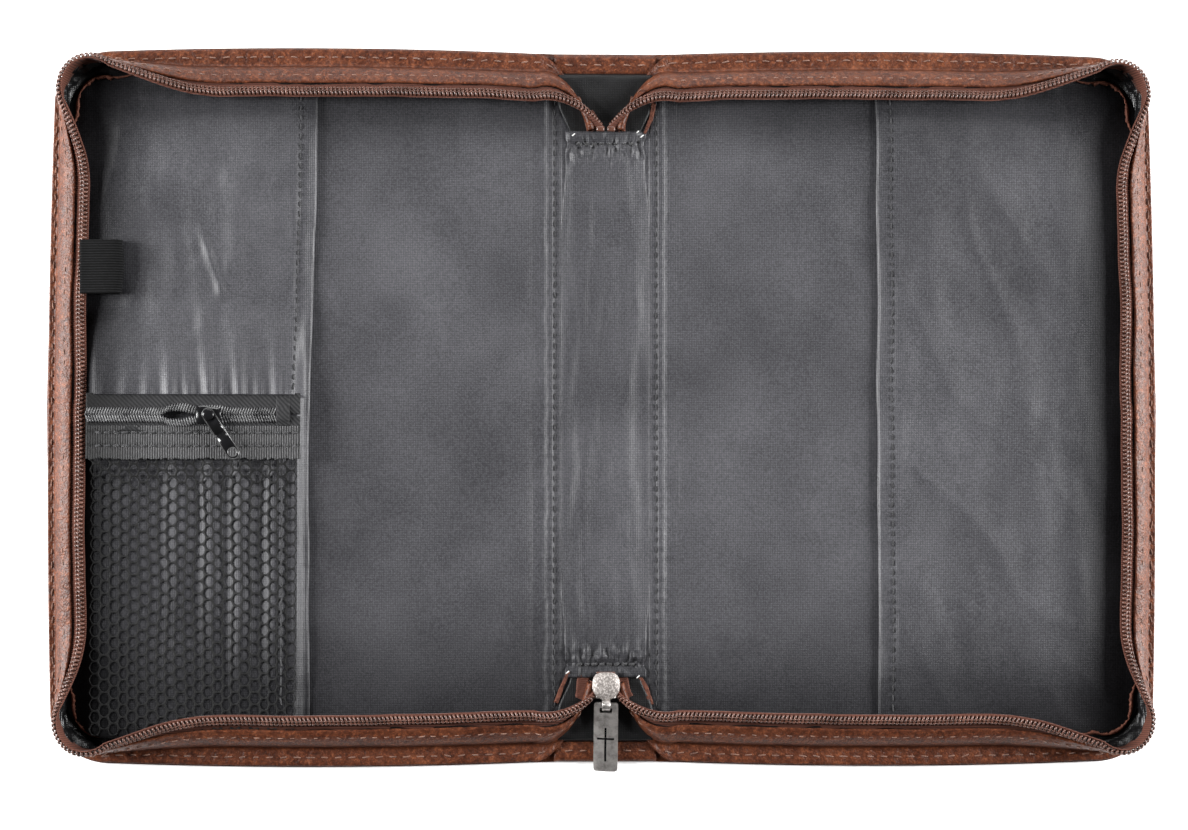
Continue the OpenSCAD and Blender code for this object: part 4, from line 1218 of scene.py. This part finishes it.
def pull_tab():
    """The pull tab: a rounded plate with a slot for the ring and an engraved cross with black enamel."""
    half, length, corner, t, crown = 4.25, 24.0, 1.0, 1.6, 0.55
    xs = half * np.sin(np.linspace(-np.pi / 2, np.pi / 2, 25))
    past = np.clip(np.abs(xs) - (half - corner), 0, corner)
    low_y = -length + corner - np.sqrt(corner ** 2 - past ** 2)
    high_y = 0.85 - (corner - np.sqrt(corner ** 2 - past ** 2)) * 0.8
    top = t / 2 - crown * (xs / half) ** 2
    under = np.full_like(xs, -t / 2)
    verts = np.stack([np.stack(q, -1) for q in ((xs, low_y, under), (xs, high_y, under), (xs, high_y, top),
                                                (xs, low_y, top))], 1).reshape(-1, 3)
    last = 4 * (len(xs) - 1)
    faces = grid_faces(len(xs), 4, wrap=True) + [[0, 1, 2, 3], [last + 3, last + 2, last + 1, last]]
    plate = new_object("zip_pull_plate", verts, faces, SILVER)
    fix_normals(plate)
    soft = plate.modifiers.new("soft", "BEVEL")
    soft.width, soft.segments = 0.35 * MM, 4
    applied(plate)
    cuts = [rounded_block("cut", (-2.2, -2.7, -2), (2.2, -0.9, 2), SILVER, 0.3),
            rounded_block("cut", (-0.38, -20.4, t / 2 - 0.34), (0.38, -8.0, 2), SILVER, 0.05),
            rounded_block("cut", (-3.0, -12.5, t / 2 - 0.34), (3.0, -11.76, 2), SILVER, 0.05)]
    for cut in cuts:
        carve = plate.modifiers.new("carve", "BOOLEAN")
        carve.object, carve.operation, carve.solver = applied(cut), "DIFFERENCE", "EXACT"
        applied(plate)
    for cut in cuts:
        bpy.data.objects.remove(cut)
    plate.data.polygons.foreach_set("use_smooth", [False] * len(plate.data.polygons))
    strokes = ((-0.37, 0.37, -20.4, -8.0, 0.64), (-3.0, 3.0, -12.49, -11.77, 0.55))
    enamel = join("zip_pull_cross", [applied(rounded_block("c", (x0, y0, 0.42), (x1, y1, z1), ENAMEL, 0.04))
                                     for x0, x1, y0, y1, z1 in strokes])
    place = (Matrix.Translation(Vector((0, -105.2 * MM, 9.6 * MM)))
             @ Matrix.Rotation(math.radians(14.7), 4, "X")
             @ Matrix.Rotation(math.radians(-9), 4, "Y"))
    for obj in (plate, enamel):
        obj.data.transform(place)
        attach(obj, "zip_pull")
    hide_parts("zip_pull_tab")


# ---------------------------------------------------------------- pocket and pen loop, on the front cover

ZIP_Y = (low("pocket_coil_lower")[1] + high("pocket_coil_upper")[1]) / 2
SLIDER_X = -(low("pocket_slider_body")[0] + high("pocket_slider_body")[0]) / 2
# The closed part of the pocket chain starts here, and the slider rests where it is still open
CHAIN_X0 = 115.5


def net():
    """The hexagonal net: a web with round holes, gathered into folds that run along Y."""
    wide, tall, hole = 3.45, 4.3, 1.77
    x = np.linspace(POCKET_X0, POCKET_X1, 600)
    fold_h = pocket_folds(x)
    arc = np.concatenate([[0], np.cumsum(np.hypot(np.diff(x), np.diff(fold_h)))])
    verts, faces = [], []
    index = {}

    def place(u, v):
        key = (round(u, 3), round(v, 3))
        if key in index:
            return index[key]
        px = np.interp(u, arc, x)
        py = v
        wave = noise.noise(Vector((px / 9, py / 26, 3.1)))
        pz = 9.85 + np.interp(u, arc, fold_h) * pocket_fade(px, py) * (1 + 0.2 * wave)
        pz += 2.6 * float(smooth((py - BAND_Y0 + 10) / 10))
        px += 1.1 * wave * (1 - abs(2 * (px - POCKET_X0) / (POCKET_X1 - POCKET_X0) - 1) ** 4)
        index[key] = len(verts)
        verts.append((px, py, pz))
        return index[key]

    columns = int(arc[-1] / wide) + 1
    step = arc[-1] / columns
    y0 = POCKET_Y0 - 6
    rows = int((BAND_Y0 + 2 - y0) / tall) + 2
    hexagon = [(-2 / 3, 0), (-1 / 3, 0.5), (1 / 3, 0.5), (2 / 3, 0), (1 / 3, -0.5), (-1 / 3, -0.5)]
    for c in range(columns + 1):
        for r in range(rows):
            cu = c * step
            cv = y0 + (r + 0.5 * (c % 2)) * tall
            outer, inner = [], []
            for k in range(6):
                h0, h1 = hexagon[k], hexagon[(k + 1) % 6]
                for share in (0, 0.5):
                    hu, hv = mix(h0[0], h1[0], share) * step, mix(h0[1], h1[1], share) * tall
                    angle = math.atan2(hv, hu)
                    outer.append((cu + hu, cv + hv))
                    inner.append((cu + hole * math.cos(angle) * 0.92, cv + hole * math.sin(angle) * 1.08))
            if min(o[0] for o in outer) < -0.01 or max(o[0] for o in outer) > arc[-1] + 0.01:
                continue
            if max(o[1] for o in outer) > BAND_Y0 + 3:
                continue
            o = [place(*q) for q in outer]
            i = [place(*q) for q in inner]
            for k in range(12):
                n = (k + 1) % 12
                faces.append([o[k], o[n], i[n], i[k]])
    obj = new_object("pocket_net", mirrored(verts, -1), faces, NET)
    thicken(obj, 0.25)
    placed(obj, "mesh", "front_cover", "pocket_mesh")
    sewn = join("pocket_hem_thread", [
        row_of_stitches("p", (POCKET_X0 + 6.5, POCKET_Y0 + 2, 10.9), (POCKET_X0 + 6.5, BAND_Y0, 11.2),
                        3.4, 2.8, 0.3, DARK_THREAD, -1)])
    placed(sewn, "grey_thread", "front_cover")


def pocket_band():
    """The ribbed band between the net and the zip, with two rows of stitches and a frayed lower edge."""
    x, y = patch(POCKET_X0, POCKET_X1, BAND_Y0 - 0.6, BAND_Y1 + 0.4, 0.55)
    fray = noise_field(points(x, 0), 1.2, 91, 3)
    y = y + 0.7 * fray * smooth(1 - (y - BAND_Y0) / 2)
    wave = wrinkles(x, y, 11, 4, 93, 2)
    rows = [BAND_Y1 - 2.1, BAND_Y1 - 6.7]
    dent = sum(bell(y - r, 0.5) for r in rows)
    z = TAPE_Z + 0.55 + 0.40 * wave - 0.50 * dent + 0.10 * noise_field(points(x, y), 3, 95, 2)
    x = x + 0.5 * wrinkles(y, 0, 14, 1, 94, 2) * smooth(1 - (x - POCKET_X0) / 3)
    obj = thicken(sheet_object("pocket_band_ribbon", points(x, y, z), RIBBON, -1), 0.4)
    placed(obj, "black_webbing", "front_cover", "pocket_band")
    sewn = []
    for r in rows:
        column = int(np.argmin(np.abs(y[0] - r)))
        sx = np.arange(POCKET_X0 + 2, POCKET_X1 - 2, 3.1)
        point = points(sx, r, np.interp(sx, x[:, column], z[:, column]) + 0.05)
        sewn.append(stitches("r", point, ALONG_X, UP, 2.5, 0.34, DARK_THREAD, -1))
    thread_rows = join("pocket_band_thread", sewn)
    placed(thread_rows, "black_webbing", "front_cover", "pocket_band_stitches")


def parting(x):
    """How far each coil is pushed from the closed line at x: the chain has burst beside the slider."""
    return 1.5 * bell(x - 149.5, 4.6, 4) + 0.9 * bell(x - SLIDER_X, 5.5, 4)


def pocket_zip():
    for name, k in (("upper", 1), ("lower", -1)):
        if k > 0:
            x, y = patch(POCKET_X0, POCKET_X1, ZIP_Y + 0.3, TAPE_Y1 + 0.5, 0.6)
        else:
            x, y = patch(POCKET_X0, POCKET_X1, BAND_Y1 - 1.5, ZIP_Y - 0.3, 0.6)
        near = smooth(1 - np.abs(y - ZIP_Y) / 3)
        y = y + k * parting(x) * near
        z = TAPE_Z + 0.38 + 0.12 * wrinkles(x, y, 12, 1, 97 + k, 2)
        tape = thicken(sheet_object(f"pocket_{name}_tape", points(x, y, z), BLACK_TAPE, -1), 0.4)
        placed(tape, "black_webbing", "front_cover", f"pocket_tape_{name}")
        pitch = 0.92
        s = np.arange(0, POCKET_X1 - CHAIN_X0, pitch / 9)
        sx = CHAIN_X0 + s + (0.25 if k > 0 else 0)
        keep = sx < POCKET_X1
        s, sx = s[keep], sx[keep]
        centre = points(sx, ZIP_Y + k * (1.2 + parting(sx)), TAPE_Z + 0.22)
        across = unit(np.array([0.45, -k * 0.9, 0]))
        coil = helix(f"pocket_{name}_coil", s, centre, across, UP, pitch, 1.5, 0.55, 0.2, BLACK_COIL, -1)
        placed(coil, "black_coil", "front_cover", f"pocket_coil_{name}")
    lo, hi = low("pocket_end_tab"), high("pocket_end_tab")
    x, y = patch(-hi[0] - 0.3, -lo[0] + 0.2, BAND_Y1 + 0.4, ZIP_Y + 6.6, 0.35)
    bulge = bell(y - ZIP_Y, 2.6, 4)
    rim_drop = np.minimum(x - x.min(), x.max() - x)
    z = TAPE_Z + 0.75 + 0.9 * bulge - 0.3 * smooth(1 - rim_drop / 0.8)
    z += 0.10 * noise_field(points(x, y), 1.6, 99, 2)
    tab = thicken(sheet_object("pocket_zip_end", points(x, y, z), BLACK_TAPE, -1), 0.35)
    placed(tab, "black_coil", "front_cover", "pocket_end_tab")


def pocket_pull():
    """The pocket slider's pull: a thin plate with a raised rim, an eye and a hole at its free end."""
    z0 = low("pocket_pull")[2]
    length, half_w = 18.0 - 2.45, 2.45
    turn = math.radians(-57)
    a = np.linspace(np.pi / 2, 3 * np.pi / 2, 22)
    eye = np.stack([2.2 * np.cos(a), 2.2 * np.sin(a)], -1)
    b = np.linspace(-np.pi / 2, np.pi / 2, 22)
    tip = np.stack([length + half_w * np.cos(b), half_w * np.sin(b)], -1)
    outline = np.concatenate([eye, tip])
    xs = np.linspace(outline[:, 0].min(), outline[:, 0].max(), 60)

    def width_at(q):
        q = np.asarray(q)
        left = np.sqrt(np.clip(2.2 ** 2 - np.clip(-q, 0, None) ** 2, 0, None))
        right = np.sqrt(np.clip(half_w ** 2 - np.clip(q - length, 0, None) ** 2, 0, None))
        straight = mix(2.2, half_w, np.clip(q / length, 0, 1))
        return np.where(q < 0, left, np.where(q > length, right, straight))

    parts = []
    spokes = 40
    t = np.linspace(0, 2 * np.pi, spokes, endpoint=False)
    halves = ((0.0, 1.5, xs[0], length / 2), (length, 1.5, length / 2, xs[-1]))
    for cx, hole, lo_x, hi_x in halves:
        inner = np.stack([cx + hole * np.cos(t), hole * np.sin(t)], -1)
        reach = np.linspace(hole, 12, 800)
        outer = []
        for angle in t:
            px, py = cx + reach * math.cos(angle), reach * math.sin(angle)
            ok = (np.abs(py) <= width_at(px)) & (px >= lo_x) & (px <= hi_x)
            last = reach[ok][-1] if ok.any() else hole
            outer.append((cx + last * math.cos(angle), last * math.sin(angle)))
        outer = np.array(outer)
        ring = np.stack([inner, mix(inner, outer, 0.5), outer])
        v = np.concatenate([ring, np.full(ring.shape[:2] + (1,), z0 + 0.62)], -1)
        obj = new_object("plate", v.reshape(-1, 3), grid_faces(3, spokes, wrap=True), ENAMEL)
        fix_normals(obj)
        parts.append(applied(thicken(obj, 0.5)))
    loop = np.concatenate([outline, np.full((len(outline), 1), z0 + 0.45)], -1)
    loop[:, :2] *= np.array([1, 0.9])
    parts.append(tube_along("rim", np.concatenate([loop, loop[:1]]), 0.25, 8, RIM_ENAMEL))
    ring = points(length + 1.6 * np.cos(t), 1.6 * np.sin(t), np.full(spokes, z0 + 0.55))
    parts.append(tube_along("hole_rim", np.concatenate([ring, ring[:1]]), 0.2, 8, RIM_ENAMEL))
    obj = join("pocket_pull_plate", parts)
    move = Matrix.Translation(Vector((-SLIDER_X * MM, ZIP_Y * MM, 0))) @ Matrix.Rotation(turn, 4, "Z")
    obj.data.transform(move)
    placed(obj, "black_enamel", "pocket_pull", "pocket_pull")


def pocket_slider():
    """The pocket slider: a flared top plate, a bottom plate, the post between and the pull's stud."""
    lo, hi = low("pocket_slider_body"), high("pocket_slider_body")
    top_z = low("pocket_pull")[2] - 0.3
    parts = []
    for z0, z1, crown in ((top_z - 0.85, top_z, 0.35), (lo[2], lo[2] + 0.8, 0)):
        xs = np.linspace(-1, 1, 15)
        half = np.interp(xs, [-1, -0.3, 0.4, 1], [2.3, 2.75, 3.4, 3.1])
        outline = np.concatenate([np.stack([SLIDER_X + 4.3 * xs, ZIP_Y + half], -1),
                                  np.stack([SLIDER_X + 4.3 * xs[::-1], ZIP_Y - half[::-1]], -1)])
        centre = np.array([SLIDER_X, ZIP_Y])
        rows = [np.concatenate([mix(centre, outline, r), np.full((30, 1), z)], -1)
                for r, z in ((0.02, z0), (0.97, z0), (1, z0 + 0.3), (1, z1 - 0.35), (0.93, z1 - 0.05),
                             (0.55, z1 + crown * 0.3), (0.02, z1 + crown * 0.4))]
        v = np.stack(rows)
        faces = grid_faces(len(rows), 30, wrap=True)
        faces += [list(range(30)), [(len(rows) - 1) * 30 + i for i in range(30)]]
        plate = new_object("plate", mirrored(v.reshape(-1, 3), -1), faces, ENAMEL)
        fix_normals(plate)
        parts.append(plate)
    parts.append(applied(rounded_block("post", (SLIDER_X + 1.4, ZIP_Y - 0.25, lo[2] + 0.7),
                                       (SLIDER_X + 3.9, ZIP_Y + 0.25, top_z - 0.7), ENAMEL, 0.1, -1)))
    a = np.linspace(0, 2 * np.pi, 28, endpoint=False)
    stud = [(1.2, top_z - 0.1), (1.15, hi[2] - 0.55), (1.9, hi[2] - 0.5), (2.05, hi[2] - 0.32),
            (1.6, hi[2] - 0.08), (0.7, hi[2]), (0.02, hi[2])]
    v = np.stack([points(SLIDER_X + r * np.cos(a), ZIP_Y + r * np.sin(a), z) for r, z in stud])
    knob = new_object("stud", mirrored(v.reshape(-1, 3), -1), grid_faces(len(stud), 28, wrap=True), ENAMEL)
    fix_normals(knob)
    parts.append(knob)
    obj = join("pocket_slider_plates", parts)
    placed(obj, "black_enamel", "pocket_slider", "pocket_slider_body")


def pen_loop():
    """The pen loop: a folded length of ribbed elastic, sewn at the fore edge."""
    lo, hi = low("pen_loop"), high("pen_loop")
    x0, x1 = -hi[0], -lo[0] + 2.5
    z0, z1 = lo[2] + 0.1, hi[2] - 0.9
    t = np.linspace(0, 1, 15)
    arc = np.linspace(-np.pi / 2, np.pi / 2, 13)
    r = (z1 - z0) / 2
    lower = np.stack([mix(x1, x0 + r, t), z0 + 0 * t], -1)
    bend = np.stack([x0 + r - r * np.cos(arc), z0 + r + r * np.sin(arc)], -1)[1:-1]
    upper = np.stack([mix(x0 + r, x1, t), z1 - 1.3 * smooth(t) ** 1.5], -1)
    path = np.concatenate([lower, bend, upper])
    ys = np.linspace(lo[1], hi[1], 34)
    p = np.stack([points(path[:, 0], y + 0 * path[:, 0], path[:, 1]) for y in ys], 1)
    bow = 0.35 * np.cos(np.pi * (ys - lo[1]) / (hi[1] - lo[1]) * 2)
    p[..., 0] += bow[None, :] * smooth((x0 + 8 - p[..., 0]) / 8)
    p += 0.12 * noise_field(p, 3, 101, 2)[..., None] * np.array([1, 0.4, 1])
    faces = grid_faces(*p.shape[:2])
    obj = new_object("pen_loop_elastic", mirrored(p.reshape(-1, 3), -1), faces, ELASTIC)
    fix_normals(obj)
    thicken(obj, 0.8)
    placed(obj, "elastic", "front_cover", "pen_loop")


spine_hems()
spine_cloth()
tape_ends()
zip_stops()
slider_cap()
softened("zip_slider_body", "zip_slider_plates", SILVER, 0.25, "zip_slider")
bpy.data.objects["zip_slider_plates"].data.transform(Matrix.Scale(0.84, 4, (1, 0, 0)))
pull_tab()
net()
pocket_band()
pocket_zip()
pocket_pull()
pocket_slider()
pen_loop()
repaint("spine_board", BOARD)


# ---------------------------------------------------------------- stage

FLOOR_HALF = 9000
CAMERA_PLACE, CAMERA_TARGET = Vector((-0.055, -0.0643, 1.25)), Vector((-0.004, -0.0032, 0.004))
VIEW_WIDTH = 0.4195
SENSOR_MM = 36
# Place, size and power of each soft box; all three point at the middle of the cover
SOFT_BOXES = (("left_box", (-1.1, 0.1, 0.38), (0.36, 1.0), 38),
              ("right_box", (1.1, 0.1, 0.38), (0.36, 1.0), 35),
              ("top_box", (0, 1.1, 0.6), (0.9, 0.36), 9))


def area_light(name, place, size, power):
    data = bpy.data.lights.new(name, "AREA")
    data.shape = "RECTANGLE"
    data.size, data.size_y = size
    data.energy = power
    obj = bpy.data.objects.new(name, data)
    bpy.context.collection.objects.link(obj)
    obj.location = place
    obj.rotation_euler = (-Vector(place)).to_track_quat("-Z", "Y").to_euler()


def stage():
    corners = [(FLOOR_HALF * x, FLOOR_HALF * y, 0) for x, y in ((-1, -1), (1, -1), (1, 1), (-1, 1))]
    floor = new_object("floor", corners, [(0, 1, 2, 3)],
                       matt_fill("floor", (0.86, 0.86, 0.86), (0.88, 0.88, 0.88), 40))
    floor.location.z = -0.2 * MM
    glow = floor.data.materials[0].node_tree.nodes["Principled BSDF"].inputs
    glow["Emission Color"].default_value, glow["Emission Strength"].default_value = (1, 1, 1, 1), 0.4
    for box in SOFT_BOXES:
        area_light(*box)
    world = bpy.data.worlds.new("studio")
    world.use_nodes = True
    sky = world.node_tree.nodes["Background"].inputs
    sky["Color"].default_value, sky["Strength"].default_value = (1, 1, 1, 1), 0.07
    bpy.context.scene.world = world
    camera_data = bpy.data.cameras.new("camera")
    camera_data.sensor_width = SENSOR_MM
    camera = bpy.data.objects.new("camera", camera_data)
    bpy.context.collection.objects.link(camera)
    view = (CAMERA_TARGET - CAMERA_PLACE).normalized()
    right = view.cross(Vector((0, 1, 0))).normalized()
    turn = Matrix((right, right.cross(view), -view)).transposed().to_4x4()
    camera.matrix_world = Matrix.Translation(CAMERA_PLACE) @ turn
    camera_data.lens = SENSOR_MM * (CAMERA_TARGET - CAMERA_PLACE).length / VIEW_WIDTH
    camera_data.clip_end = 20
    bpy.context.scene.camera = camera
    bpy.context.scene.view_settings.view_transform = "Standard"


stage()
